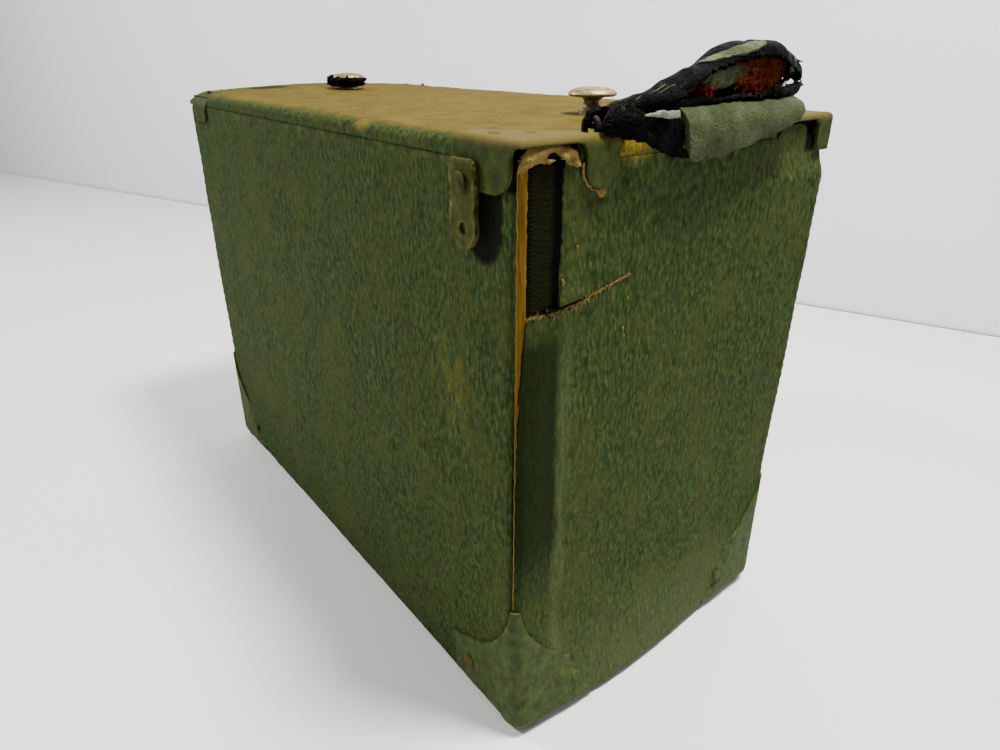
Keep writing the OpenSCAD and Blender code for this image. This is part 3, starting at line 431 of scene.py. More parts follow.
def bare_metal(name, bright, dull, tarnish, roughness=0.38):
    """Plain metal with a patchy film of tarnish and short rubbed scratches."""
    look = Look(name, roughness=roughness, metallic=0.85)
    film = look.noise(1.8, detail=6.0, rough=0.7)
    scratch = look.noise((3.0, 0.25, 0.25), detail=2.0)
    tone = look.ramp(film, ((0.35, tarnish), (0.52, dull), (0.7, bright)))
    tone = look.cover(tone, look.band(scratch, 0.55, 0.7), bright, 0.4)
    look.color(tone)
    look.roughness(look.band(film, 0.95, 0.1))
    look.bump(film, 0.05, under=look.bump(scratch, 0.03))
    return look.material


def cracked_leather(name, base, crack, sheen, gloss=0.05):
    """Dry harness leather, crazed across and shiny where it was handled."""
    look = Look(name, roughness=0.6, specular=gloss)
    long_cracks = look.cells((2.6, 1.1, 1.4), feature="DISTANCE_TO_EDGE")
    fine = look.noise(0.5, detail=4.0)
    wide = look.noise(6.0, detail=4.0)
    tone = look.ramp(wide, ((0.35, [c * 0.5 for c in base]), (0.6, base), (0.8, sheen)))
    tone = look.mix(look.band(long_cracks, 0.05, 0.0), tone, crack)
    look.color(tone)
    look.roughness(look.band(wide, 1.3, -0.2))
    first = look.bump(look.band(long_cracks, 0.0, 0.12), 0.12)
    look.bump(fine, 0.08, under=first)
    return look.material


def woven(name, dark, light, pitch=0.7, edge=None):
    """A plain weave of two crossed sets of threads, black beyond an edge where one is given."""
    look = Look(name, roughness=0.9, specular=0.02)
    waves = []
    for direction in "XYZ":
        turned = look.times(look.axis(direction), 2.0 * math.pi / pitch)
        waves.append(look.math("SINE", turned))
    threads = look.times(look.times(waves[0], waves[1]), waves[2])
    threads = look.plus(threads, look.times(waves[0], waves[2]))
    slubs = look.noise((0.5, 4.0, 0.5), detail=3.0)
    lint = look.band(look.noise((2.2, 0.6, 2.2)), 0.62, 0.72)
    tone = look.mix(look.band(threads, -1.0, 1.0), dark, light)
    tone = look.cover(tone, slubs, dark, 0.5)
    tone = look.cover(tone, lint, light, 0.3)
    if edge is not None:
        black = look.band(look.plus(look.axis("Y"), slubs), edge, edge + 1.4)
        tone = look.cover(tone, black, (0.0006, 0.0006, 0.0006), 0.92)
    look.color(tone)
    look.bump(threads, 0.12, under=look.bump(slubs, 0.1))
    return look.material


def felt(name, dark, light, center=None):
    """Matted fibres, darkened away from a center where one is given, as painted shade inside the roll."""
    look = Look(name, roughness=0.95, specular=0.03)
    fibre = look.noise((0.4, 1.6, 0.4), detail=6.0, rough=0.75, bend=2.0)
    wide = look.noise(9.0, detail=4.0)
    tone = look.ramp(fibre, ((0.35, dark), (0.65, light)))
    tone = look.cover(tone, look.band(wide, 0.45, 0.7), dark, 0.5)
    if center is not None:
        # Painted shade: the fibres turn near black away from the center, where the roll shades them.
        out_of_shade = look.plus(look.spot(center, (9.0, 9.0, 6.0)),
                          look.times(look.math("SUBTRACT", fibre, 0.5), 2.0))
        tone = look.mix(look.band(out_of_shade, 0.15, 0.6), (0.006, 0.002, 0.0015), tone)
    look.color(tone)
    look.bump(fibre, 0.35)
    return look.material


def make_looks():
    """Every look by name: those of the record's slots, and those that only a few pieces take."""
    green = (GREEN_DARK, GREEN_MID, GREEN_LIGHT)
    iron = (0.026, 0.04, 0.007)
    rust = (0.05, 0.032, 0.004)
    straw = (0.12, 0.105, 0.025)
    made = [
        wood("side_board", (0.42, 0.27, 0.12), (0.25, 0.14, 0.05), "X"),
        # Painted shade: the end board is near black above the seam, for the shade under the lid's edge.
        wood("end_board", (0.2, 0.118, 0.009), (0.1, 0.045, 0.004), "Z",
             dark_above=(SEAM_Z + 0.1, NEAR_BLACK)),
        wood("floor_wood", (0.36, 0.23, 0.1), (0.2, 0.12, 0.05), "X"),
        wood("inner_wood", (0.45, 0.32, 0.16), (0.28, 0.17, 0.07), "Y"),
        wood("divider_wood", (0.4, 0.26, 0.12), (0.22, 0.13, 0.05), "X"),
        wood("lid_wood", (0.42, 0.3, 0.15), (0.24, 0.15, 0.06), "Y",
             dark_above=(LID_HIGH[2] - 3.2, (0.02, 0.032, 0.008))),
        leathercloth("green_leathercloth", *green, dust=side_wear),
        leathercloth("end_leathercloth", *green, dust=end_wear),
        leathercloth("bottom_leathercloth", *green),
        leathercloth("dusty_leathercloth", *green, dust=lid_wear),
        # Dark cloth, its near black partly painted shade of the recess it lies in.
        woven("black_tape", (0.001, 0.0012, 0.0005), (0.015, 0.018, 0.005), 0.8,
              edge=TAPE_HIGH[1] - 2.3),
        woven("dark_lining", (0.012, 0.01, 0.009), (0.05, 0.042, 0.036), 0.9),
        painted_iron("green_iron", iron, straw, rust, top=IRON_HIGH[2] - 0.2),
        painted_iron("plain_iron", iron, (0.05, 0.055, 0.014), rust),
        painted_iron("corner_iron", (0.038, 0.058, 0.016), straw, rust),
        painted_iron("green_hasp", (0.034, 0.043, 0.006), straw, rust),
        painted_iron("rusty_rivet", (0.06, 0.05, 0.008), (0.13, 0.085, 0.012), rust),
        painted_iron("old_brass", (0.17, 0.12, 0.02), (0.3, 0.24, 0.07), rust),
        painted_iron("dusty_nail", (0.07, 0.07, 0.02), straw, rust, top=IRON_HIGH[2] - 0.8),
        painted_iron("staple_wire", (0.02, 0.017, 0.012), (0.06, 0.05, 0.03), rust),
        bare_metal("nail_steel", (0.55, 0.38, 0.1), (0.32, 0.21, 0.04), (0.1, 0.06, 0.015)),
        bare_metal("hinge_brass", (0.15, 0.1, 0.022), (0.09, 0.06, 0.014), (0.12, 0.08, 0.03)),
        bare_metal("screw_brass", (0.6, 0.44, 0.18), (0.38, 0.26, 0.1), (0.14, 0.09, 0.03)),
        bare_metal("pin_steel", (0.5, 0.49, 0.46), (0.32, 0.31, 0.29), (0.14, 0.11, 0.08)),
        bare_metal("stud_nickel", (0.4, 0.35, 0.2), (0.24, 0.2, 0.09), (0.1, 0.075, 0.03), 0.3),
        cracked_leather("black_leather", (0.0007, 0.0007, 0.0006), (0.0002, 0.0002, 0.0002),
                        (0.0028, 0.0028, 0.0026), gloss=0.02),
        cracked_leather("grey_green_leather", (0.039, 0.05, 0.019), (0.032, 0.04, 0.014),
                        (0.05, 0.062, 0.026)),
        cracked_leather("stiffener", (0.07, 0.086, 0.038), (0.03, 0.034, 0.012),
                        (0.12, 0.14, 0.075)),
        felt("felt", (0.03, 0.009, 0.008), (0.11, 0.035, 0.03)),
        felt("frayed_padding", (0.03, 0.005, 0.002), (0.13, 0.032, 0.006), PADDING_CENTER),
        felt("red_fibre", (0.03, 0.003, 0.005), (0.15, 0.014, 0.016)),
        felt("orange_fibre", (0.05, 0.008, 0.002), (0.24, 0.062, 0.014)),
        felt("pale_lining", (0.12, 0.13, 0.085), (0.32, 0.34, 0.25)),
        felt("worn_canvas", (0.085, 0.055, 0.01), (0.3, 0.22, 0.07)),
    ]
    # Blender numbers a name that the frame's own materials already have, such as felt.001.
    return {material.name.partition(".")[0]: material for material in made}


def dress_cad_nodes(looks):
    """Gives each CAD node the look of its record slot, and dulls the nails and tacks."""
    slots = {row["node"]: row["material_slot"] for row in frame["record"]["subparts"]}
    for name, obj in frame["nodes"].items():
        obj.data.materials.clear()
        dusty = name in ("lid_corner_nails", "flap_tacks")
        obj.data.materials.append(looks["dusty_nail" if dusty else slots[name]])


def add_plain_surface(name, corners, color, roughness, grit):
    """One flat face of the stage, faintly smudged and perhaps strewn with grit."""
    mesh = bpy.data.meshes.new(name)
    mesh.from_pydata(corners, [], [tuple(range(len(corners)))])
    obj = link(bpy.data.objects.new(name, mesh))
    look = Look(name, roughness=roughness, specular=0.3)
    smudge = look.noise(90.0, detail=4.0)
    tone = look.mix(look.times(smudge, 0.1), color, [c * 0.8 for c in color])
    if grit:
        dots = look.band(look.cells(38.0), 0.028, 0.02)
        tone = look.mix(dots, tone, (0.25, 0.18, 0.12))
    look.color(tone)
    mesh.materials.append(look.material)


def add_stage():
    """A pale floor and the wall behind it, meeting in one line, with two soft lamps."""
    left, right = (Vector(WALL_FOOT) + Vector(WALL_WAY) * side for side in (-WALL_HALF, WALL_HALF))
    up = Vector((0.0, 0.0, WALL_TOP))
    floor = [left, right, right + Vector((2.0, -STAGE_DEPTH, 0.0)),
             left + Vector((0.0, -STAGE_DEPTH, 0.0))]
    add_plain_surface("floor", floor, (0.8, 0.79, 0.78), 0.45, True)
    behind = Vector((0.0, 0.002, 0.0))
    wall = [corner + behind for corner in (left, right, right + up, left + up)]
    add_plain_surface("wall", wall, (0.78, 0.77, 0.8), 0.8, False)
    add_world((0.965, 0.965, 1.0), 0.42)
    add_light("lamp", (0.2, 0.083, 0.62), (0.06, -0.06, 0.0), 0.14, 9.8, (1.0, 0.975, 0.95))
    add_light("side", (-0.62, -0.52, 0.62), (0.06, -0.05, 0.08), 0.1, 9.5, (1.0, 0.98, 0.95))


LOOKS = make_looks()
dress_cad_nodes(LOOKS)
add_camera()
add_stage()


# ---- mesh building ----


def stacked(*columns):
    """Rows of points from their columns, any of which may be a single value."""
    return np.stack(np.broadcast_arrays(*columns), -1)


def around(turn):
    """Points of a unit circle."""
    return np.stack([np.cos(turn), np.sin(turn)], -1)


def full_turn(count):
    return np.linspace(0.0, 2.0 * math.pi, count, endpoint=False)


def rise(value, start, width):
    """0 up to start, then growing to 1 over a width."""
    return np.clip((value - start) / width, 0.0, 1.0)


def fall(value, start, width):
    """0 above start, and growing to 1 over a width below it."""
    return np.clip((start - value) / width, 0.0, 1.0)


def waves(points, size, seed, octaves=3):
    """Smooth noise of about -1 to 1 at each point, whose features are about a size across."""
    points = np.asarray(points, float)
    rng = np.random.default_rng(seed)
    total = np.zeros(len(points))
    for octave in range(octaves):
        for _ in range(6):
            direction = rng.normal(size=points.shape[1])
            direction *= 2.0 * math.pi * 2**octave / (size * np.linalg.norm(direction))
            phase = rng.uniform(0.0, 2.0 * math.pi)
            total += 0.5**octave * np.sin(points @ direction * rng.uniform(0.6, 1.3) + phase)
    return total / 3.0


def resampled(line, step, closed=True):
    """The same line with points about a step apart."""
    line = np.asarray(line, float)
    starts, ends = (line, np.roll(line, -1, axis=0)) if closed else (line[:-1], line[1:])
    points = []
    for a, b in zip(starts, ends):
        count = max(1, math.ceil(np.linalg.norm(b - a) / step - 1e-6))
        points += [a + (b - a) * i / count for i in range(count)]
    if not closed:
        points.append(line[-1])
    return np.array(points)


def ragged(line, step, depth, seed, closed=False):
    """A line broken up by small uneven bites."""
    points = resampled(line, step, closed)
    shift = stacked(waves(points, step * 4.0, seed), waves(points, step * 5.0, seed + 1))
    if not closed:
        shift[0] = shift[-1] = 0.0
    return points + depth * shift


def arc(center, radius, start, end, count=8):
    turn = np.radians(np.linspace(start, end, count + 1))
    return np.array(center) + radius * around(turn)


def is_inside(points, loop):
    x, y = points[:, 0], points[:, 1]
    hit = np.zeros(len(points), bool)
    for (ax, ay), (bx, by) in zip(loop, np.roll(loop, -1, axis=0)):
        if ay != by:
            hit ^= ((ay > y) != (by > y)) & (x < (bx - ax) * (y - ay) / (by - ay) + ax)
    return hit


def patch(outline, step, holes=(), edge_step=None):
    """Points and triangles that fill a flat outline, about a step apart."""
    loops = [resampled(loop, edge_step or step) for loop in (outline, *holes)]
    low, high = loops[0].min(0), loops[0].max(0)
    rows = np.arange(low[1], high[1], step * 0.87)
    grid = [[x + (row % 2) * step / 2.0, y] for row, y in enumerate(rows)
            for x in np.arange(low[0], high[0] + step, step)]
    grid = np.array(grid).reshape(-1, 2)
    edge = np.concatenate(loops)
    keep = is_inside(grid, loops[0])
    for hole in loops[1:]:
        keep &= ~is_inside(grid, hole)
    near = np.array([np.min(np.sum((edge - p) ** 2, 1)) for p in grid]) if len(grid) else keep
    keep &= near > (0.55 * step) ** 2
    points = np.concatenate([edge, grid[keep]])
    lines, first = [], 0
    for loop in loops:
        lines += [(first + i, first + (i + 1) % len(loop)) for i in range(len(loop))]
        first += len(loop)
    made = delaunay_2d_cdt([Vector(p) for p in points], lines, [], 0, 1e-5)
    points = np.array([tuple(p) for p in made[0]])
    faces = np.array([tuple(f) for f in made[2]])
    middle = points[faces].mean(1)
    keep = is_inside(middle, loops[0])
    for hole in loops[1:]:
        keep &= ~is_inside(middle, hole)
    return points, [tuple(int(i) for i in f) for f in faces[keep]]


def flipped(faces):
    """The same faces seen from their other side."""
    return [face[::-1] for face in faces]


def make_piece(name, points, faces, body, slot, replaced=(), sharp=38.0, look=None):
    """A smooth-shaded piece that rides on a body and takes its look from a record slot."""
    mesh = bpy.data.meshes.new(name)
    mesh.from_pydata([Vector(p) * MM for p in points], [], faces)
    mesh.validate()
    mesh.materials.append(LOOKS[look or slot])
    obj = link(bpy.data.objects.new(name, mesh))
    mesh.shade_smooth()
    mesh.set_sharp_from_angle(angle=math.radians(sharp))
    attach(obj, body)
    if replaced:
        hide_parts(*replaced)
    return obj


def modify(obj, kind, **settings):
    """Adds one modifier and applies it."""
    modifier = obj.modifiers.new(kind.lower(), kind)
    for key, value in settings.items():
        setattr(modifier, key, value)
    bpy.context.view_layer.update()
    graph = bpy.context.evaluated_depsgraph_get()
    mesh = bpy.data.meshes.new_from_object(obj.evaluated_get(graph))
    obj.modifiers.clear()
    obj.data = mesh
    return obj


def thicken(obj, thickness, soften=0.0):
    """Gives a skin its thickness on the inner side, and rounds the rim."""
    modify(obj, "SOLIDIFY", thickness=thickness * MM, offset=-1.0, use_rim=True)
    if soften:
        modify(obj, "BEVEL", width=soften * MM, segments=2, limit_method="ANGLE",
               angle_limit=math.radians(50.0))
        obj.data.set_sharp_from_angle(angle=math.radians(60.0))
    return obj


def skin(name, outline, place, thickness, body, slot, step, replaced=(), holes=(),
         edge_step=None, flip=False, soften=0.0, look=None):
    """A sheet cut to a flat outline, laid where place puts each point, with a thickness."""
    flat, faces = patch(np.asarray(outline, float), step, holes, edge_step)
    if flip:
        faces = flipped(faces)
    obj = make_piece(name, place(flat), faces, body, slot, replaced, look=look)
    return thicken(obj, thickness, soften)


def join_flat(parts):
    """Points and faces of several (points, faces) lists, sewn where they touch."""
    points, faces = [], []
    for p, f in parts:
        faces += [tuple(i + len(points) for i in face) for face in f]
        points += [tuple(q) for q in p]
    keys, index = {}, []
    for p in points:
        key = tuple(round(c, 2) for c in p)
        index.append(keys.setdefault(key, len(keys)))
    merged = [None] * len(keys)
    for p, i in zip(points, index):
        merged[i] = p
    sewn = [tuple(index[i] for i in face) for face in faces]
    return np.array(merged), [f for f in sewn if len(set(f)) == len(f)]


def round_box(points, low, high, radius):
    """Moves points of a sharp box's surface onto the same box with rounded edges."""
    core = np.clip(points, np.array(low) + radius, np.array(high) - radius)
    away = points - core
    length = np.maximum(np.linalg.norm(away, axis=1), 1e-9)[:, None]
    return np.where(length > 1e-6, core + away / length * radius, points)


# ---- leathercloth covering ----


def perimeter(along, z, bulge):
    """Places on the upright sides, from a distance along them and a height.

    It is 0 at the front edge of the right end, negative on that end, and grows round the
    front, the left end and the back.
    """
    x, y = HALF_L - EDGE_R, HALF_W - EDGE_R
    corner = EDGE_R * math.pi / 2.0
    marks = [-math.inf, *np.cumsum((0.0, corner, 2.0 * x, corner, 2.0 * y, corner)), math.inf]
    sides = (((HALF_L, -y), (1, 0)), ((x, -HALF_W), (0, -1)), ((-HALF_L, -y), (-1, 0)),
             ((-x, HALF_W), (0, 1)))
    place = stacked(0.0, 0.0, z)
    outward = np.zeros((len(along), 2))
    for (origin, way), start, stop in zip(sides, marks[::2], marks[1::2]):
        here = (along >= start) & (along <= stop)
        run = (along[here] - max(start, 0.0))[:, None]
        place[here, :2] = np.array(origin) + run * np.array((way[1], -way[0]))
        outward[here] = way
    turns = zip(((x, -y), (-x, -y), (-x, y)), marks[1::2], marks[2::2], (0.0, 90.0, 180.0))
    for center, start, stop, angle in turns:
        here = (along > start) & (along < stop)
        outward[here] = around(-np.radians(angle) - (along[here] - start) / EDGE_R)
        place[here, :2] = np.array(center) + EDGE_R * outward[here]
    place[:, :2] += outward * bulge[:, None]
    return place


FOOT_SWELL = 4.4
REAR_SWELL = 1.9
SWELL_REACH = 45.0


def flared(points):
    """The right end has swollen: its foot and its rear edge stand out a few millimetres."""
    x, y, z = points.T
    foot = np.clip(1.0 - z / (CAP_HIGH[2] + 3.0), 0.0, 1.0) ** 1.5
    swell = FOOT_SWELL * np.exp(-(((y + 12.0) / 38.0) ** 2)) * foot
    rear = rise(z, CAP_HIGH[2] + 6.0, 90.0) * fall(z, SEAM_Z - 4.9, 5.0)
    swell = swell + REAR_SWELL * rear * rise(y, -10.0, HALF_W + 10.0) ** 2
    swell = swell * rise(x, HALF_L - SWELL_REACH, SWELL_REACH) ** 2
    return points + swell[:, None] * np.array([1.0, 0.0, 0.0])


def swelling(along, z, seed):
    """How far the cloth stands proud: a soft belly, lumps, and rolled top and bottom rims."""
    flat = stacked(along, z * 0.6)
    up = np.clip((z - BASE_Z) / (SEAM_Z - BASE_Z), 0.0, 1.0)
    belly = 0.35 * np.sin(math.pi * up)
    lumps = 0.1 * waves(flat, 45.0, seed) + 0.05 * waves(flat, 9.0, seed + 1)
    rim = np.clip(1.0 - np.minimum(SEAM_Z - z, z - BASE_Z) / 1.6, 0.0, 1.0)
    return (belly + lumps) * fall(z, SEAM_Z, 6.0) - 0.15 * rim**2


def wrap_side():
    """One length of leathercloth round the front, the left end and the back."""
    start = EDGE_R * math.pi / 2.0 - 0.25
    stop = 3.0 * EDGE_R * math.pi / 2.0 + 2.0 * (2.0 * HALF_L + HALF_W - 3.0 * EDGE_R)
    outline = [(start, BASE_Z), (stop, BASE_Z), (stop, SEAM_Z), (start, SEAM_Z)]

    def place(flat):
        return flared(perimeter(flat[:, 0], flat[:, 1], swelling(flat[:, 0], flat[:, 1], 3)))

    skin("leathercloth_wrap", outline, place, COVER_T + 0.25, "case", "green_leathercloth", 2.2,
         replaced=["wrap_cover"], flip=True)



def end_cover_outline():
    """The end's covering in Y and Z: torn along the front edge and halfway in at the tear."""
    side = HALF_W + EDGE_R * (math.pi / 2.0 - 1.0)
    low_z = CAP_HIGH[2] + 2.0
    ear_start = HALF_W - 21.0
    ear_end = HALF_W - 8.0
    tape_end = TAPE_HIGH[1]
    bare = ragged([(-side + 0.7, low_z), (-side + 1.0, low_z + 29.0), (-side + 2.2, low_z + 63.0),
                   (-side + 3.2, TEAR_Z - 4.0)], 1.4, 0.16, 21)
    lower_lip = ragged([(-side + 3.6, TEAR_Z - 2.6), (TEAR_Y - 21.0, TEAR_Z - 3.1),
                        (TEAR_Y - 14.0, TEAR_Z - 2.2),
                        (TEAR_Y - 7.0, TEAR_Z - 0.4), (TEAR_Y, TEAR_Z + 1.6)], 0.7, 0.3, 22)
    upper_lip = ragged([(TEAR_Y, TEAR_Z + 1.6), (TEAR_Y - 7.0, TEAR_Z + 0.5),
                        (TEAR_Y - 13.0, TEAR_Z - 1.2),
                        (tape_end - 0.3, TEAR_Z - 1.6)], 0.7, 0.22, 23)
    fold = ragged([(tape_end - 0.2, TEAR_Z + 1.0), (tape_end + 0.2, TEAR_Z + 12.0),
                   (tape_end + 0.1, SEAM_Z - 1.0)], 1.2, 0.12, 24)
    top = [(tape_end + 0.6, SEAM_Z + 1.6), (tape_end + 2.6, SEAM_Z + 1.4), (tape_end + 4.0, SEAM_Z),
           (ear_start, SEAM_Z), (ear_start, EAR_Z - 4.0)]
    ear_top = EAR_Z - 0.5
    ear = [*arc((ear_start + 4.0, ear_top - 4.0), 4.0, 180.0, 90.0, 6),
           *arc((ear_end - 4.0, ear_top - 4.0), 4.0, 90.0, 0.0, 6), (ear_end, SEAM_Z)]
    rest = [(side, SEAM_Z), (side, BASE_Z), (-side, BASE_Z), (-side, low_z - 3.0),
            (-side + 0.3, low_z - 1.0)]
    return np.concatenate([bare, lower_lip, upper_lip[1:], fold, top, ear, rest])


def on_end(flat, proud=0.0):
    """Places on the right end and its two rounded edges, from unrolled Y and Z."""
    y, z = flat.T
    start = HALF_W - EDGE_R
    turn = np.clip((np.abs(y) - start) / EDGE_R, 0.0, math.pi / 2.0)
    swell = swelling(y, np.minimum(z, SEAM_Z), 7) + proud
    out = EDGE_R + swell
    x = HALF_L - EDGE_R + out * np.cos(turn)
    across = np.where(turn > 0.0, start + out * np.sin(turn), np.abs(y))
    return stacked(x, np.sign(y) * across, z)


def end_cover():
    """The torn leathercloth of the right end, lifted and hollowed along the tear."""
    def place(flat):
        y, z = flat.T
        lift = np.exp(-(((z - TEAR_Z + 1.0) / 2.2) ** 2)) * fall(y, TEAR_Y, 14.0)
        edge = fall(y, TAPE_HIGH[1] + 1.4, 1.4) * rise(z, TEAR_Z, 3.0)
        bare = fall(y, 4.5 - HALF_W, 1.2) * rise(z, CAP_HIGH[2] + 5.0, 5.0)
        below = fall(z, TEAR_Z - 4.0, 10.0)
        ridge = 0.22 * np.exp(-(((y - TEAR_Y + 15.0) / 1.3) ** 2)) * below
        hollow = 0.3 * np.exp(-(((y - TEAR_Y + 20.5) / 3.0) ** 2)) * below
        return flared(on_end(flat, 0.3 * lift - 0.45 * edge - 0.25 * bare + ridge - hollow))

    skin("leathercloth_end", end_cover_outline(), place, COVER_T, "case", "end_leathercloth", 1.7,
         replaced=["right_end_cover"], edge_step=0.7, soften=0.16)


def black_tape():
    """The black tape that shows above the tear, with frayed edges; its near black is partly painted shade.
    """
    low, high = TAPE_LOW, TAPE_HIGH
    left = -HALF_W + 2.1
    right = high[1] + 1.0
    top = high[2] + 0.9
    outline = np.concatenate([
        ragged([(left, top - 0.2), (left + 0.2, low[2] + 10.0), (left + 0.3, low[2] - 2.2)], 0.8, 0.1, 31),
        ragged([(left + 0.6, low[2] - 3.0), (right, low[2] - 2.6)], 0.8, 0.15, 32),
        ragged([(right, top), (high[1] - 2.4, top + 0.2), (high[1] - 5.4, top - 0.3), (left + 0.4, top)],
               0.7, 0.12, 33)])

    def place(flat):
        placed = on_end(flat)
        edge = fall(flat[:, 0], left + 1.2, 1.2)
        placed[:, 0] = high[0] + 0.08 * waves(flat, 3.0, 34) - 0.55 * edge**2
        return placed

    skin("joint_tape_cloth", outline, place, high[0] - low[0], "case", "black_tape", 1.0,
         replaced=["joint_tape"], edge_step=0.5)


# ---- lid ----


def lid_crown_z(x, y):
    """Height of the lid's cloth over the board: a low crown with rolled edges and dents."""
    edge_z = LID_HIGH[2] - 1.2
    u = np.clip(x / HALF_L, -1.0, 1.0)
    v = np.clip(y / HALF_W, -1.0, 1.0)
    crown = 1.1 * (1.0 - u**2) * (1.0 - v**2) ** 0.5
    crown = crown + 2.4 * (1.0 - v**2) * rise(-u, 0.55, 0.45)
    near = np.minimum(HALF_L - np.abs(x), HALF_W - np.abs(y))
    wide = np.where(x < 20.0 - HALF_L, 5.5, 3.2)
    roll = np.clip(1.0 - near / wide, 0.0, 1.0)
    flat = stacked(x, y)
    return edge_z + crown + 0.1 * waves(flat, 30.0, 41) - 0.55 * wide * roll**2.3


def lid_skin():
    """The lid's covering: a crowned top and a skirt, notched at the right end for the ears."""
    low, high = LID_LOW.copy(), LID_HIGH + 0.35
    low[2] = SEAM_Z + 0.08
    skirt = LID_HIGH[2] - 1.2 - low[2]
    notch = HALF_L - 6.8
    front, back = (-35.4, HALF_W - 21.8), HALF_W - 5.6
    reach_x, reach_y = high[0] + skirt, high[1] + skirt
    outline = [(-reach_x, -high[1]), (-high[0], -high[1]), (-high[0], -reach_y),
               (notch, -reach_y), (notch, front[0]), (reach_x, front[0]), (reach_x, front[1]),
               (notch, front[1]), (notch, back), (reach_x, back), (reach_x, high[1]),
               (high[0], high[1]), (high[0], reach_y), (-high[0], reach_y),
               (-high[0], high[1]), (-reach_x, high[1])]

    def place(flat):
        x = np.clip(flat[:, 0], -high[0], high[0])
        y = np.clip(flat[:, 1], -high[1], high[1])
        down = np.maximum(np.abs(flat[:, 0]) - high[0], np.abs(flat[:, 1]) - high[1])
        down = np.maximum(down, 0.0)
        inward = 0.12 * np.clip(down / skirt, 0.0, 1.0) + 0.05 * waves(flat, 12.0, 42)
        over_x = np.abs(flat[:, 0]) > high[0]
        over_y = np.abs(flat[:, 1]) > high[1]
        z = np.where(down > 0.0, lid_crown_z(x, y) - down * (lid_crown_z(x, y) - low[2]) / skirt,
                     lid_crown_z(x, y))
        x = x - np.sign(x) * np.where(over_x, inward, 0.0)
        y = y - np.sign(y) * np.where(over_y, inward, 0.0)
        return stacked(x, y, z)

    skin("leathercloth_lid", outline, place, 0.7, "lid", "dusty_leathercloth", 1.9,
         replaced=["lid_cover"])


IRON_DENT = 0.05
IRON_STRIP = 0.85
LOBE_R = 4.3
LEFT_REACH = 8.6
BEYOND = 30.0


def iron_part(outline, plane, offset, step=0.8, holes=()):
    """One flat face of a pressed corner before it is bent, on the plane at an offset."""
    flat, faces = patch(np.asarray(outline, float), step, holes)
    points = np.insert(flat, plane, offset, axis=1)
    normal = np.cross(points[faces[0][1]] - points[faces[0][0]],
                      points[faces[0][2]] - points[faces[0][0]])[plane]
    outward = 1.0 if offset > 0.0 else -1.0
    if normal * outward < 0.0:
        faces = flipped(faces)
    return points, faces


def mirrored(points, faces, signs):
    """Points made for the front right corner, moved to the corner of the given signs."""
    points = points * np.array([signs[0], -signs[1], 1.0])
    if signs[0] * -signs[1] < 0:
        faces = flipped(faces)
    return points, faces


def pressed_piece(name, parts, box, radius, signs, thickness, body, look, shape=None):
    """A pressed iron that stands for its CAD corner: flat parts, bent at the box's edges."""
    low, high = box
    points, faces = join_flat(parts)
    points = round_box(points, low, high, radius)
    if shape is not None:
        points = shape(points)
    middle = (np.array(low) + np.array(high)) / 2.0 - np.array([6.0, -6.0, 8.0])
    outward = points - middle
    outward /= np.linalg.norm(outward, axis=1)[:, None]
    points = points + outward * (IRON_DENT * waves(points, 5.0, len(name)))[:, None]
    points, faces = mirrored(points, faces, signs)
    node = name.replace("iron_", "lid_corner_").replace("cap_", "bottom_corner_")
    obj = make_piece(name, flared(points), faces, body, "green_iron", [node], look=look)
    return thicken(obj, thickness, 0.14)


def lid_iron(name, signs, reach, end_line, radius=1.6, sink=0.0, look=None):
    """A pressed iron over one corner of the lid: a top plate, a side plate and an end part."""
    x0, y0, z0 = IRON_LOW + (0.0, sink, 0.0)
    x1, z1 = IRON_HIGH[0] - sink, IRON_HIGH[2] - sink
    strip = z1 - IRON_STRIP
    side_end = IRON_HIGH[0] - 2.9
    top = [(x0, y0), (x1, y0), (x1, reach), (x1 - 3.2, reach), (x1 - 3.2, y0 + 19.0),
           (x1 - 7.0, y0 + 19.0), (x0, y0 + 7.0)]
    side = [(x0, z1), *arc((x0 + 2.5, z0 + 2.5), 2.5, 180.0, 270.0),
            *arc((side_end - 5.0, z0 + 5.0), 5.0, 270.0, 360.0, 10),
            (side_end, strip - 2.2), (side_end + 0.5, strip - 0.8), (side_end + 1.6, strip),
            (x1, strip), (x1, z1)]
    end = [(max(y, y0), min(z, z1)) for y, z in end_line]
    parts = [iron_part(top, 2, z1), iron_part(side, 1, y0), iron_part(end, 0, x1)]
    box = (x0 - BEYOND, y0, z0 - BEYOND), (x1, y0 + 3.0 * BEYOND, z1)
    return pressed_piece(name, parts, box, radius, signs, 0.8, "lid", look)


def lobe_line():
    """The end of the front right iron: a narrow strip over the relief, then a hanging lobe."""
    y0, y1, z0, z1 = IRON_LOW[1], IRON_HIGH[1], IRON_LOW[2], IRON_HIGH[2]
    start = y1 - 2.0 * LOBE_R
    strip = z1 - IRON_STRIP
    lobe = arc((start + LOBE_R, z0 + LOBE_R), LOBE_R, 180.0, 360.0, 14)
    return [(y0, z1), (y0, strip), (start - 2.2, strip), (start - 0.8, strip - 0.5),
            (start, strip - 1.8), *lobe, (y1, z1)]


def back_end_line():
    """The end of the back right iron, in the front corner's mirrored places."""
    y0, z1 = -REAR_IRON_HIGH[1], REAR_IRON_HIGH[2]
    edge = y0 + 6.7
    return [(y0, z1), (y0, z1 - 8.8), (edge - 1.0, z1 - 8.8), (edge, z1 - 7.6),
            (edge, z1 - 2.4), (edge + 1.2, z1 - 1.2), (-REAR_IRON_LOW[1], z1 - 1.2),
            (-REAR_IRON_LOW[1], z1)]


def left_end_line():
    """The end of a left iron, which stops above the seam and beside the hinge."""
    y0, z1 = IRON_LOW[1], IRON_HIGH[2]
    edge = y0 + LEFT_REACH
    return [(y0, z1), (y0, z1 - 3.9), (edge, z1 - 3.9), (edge, z1)]


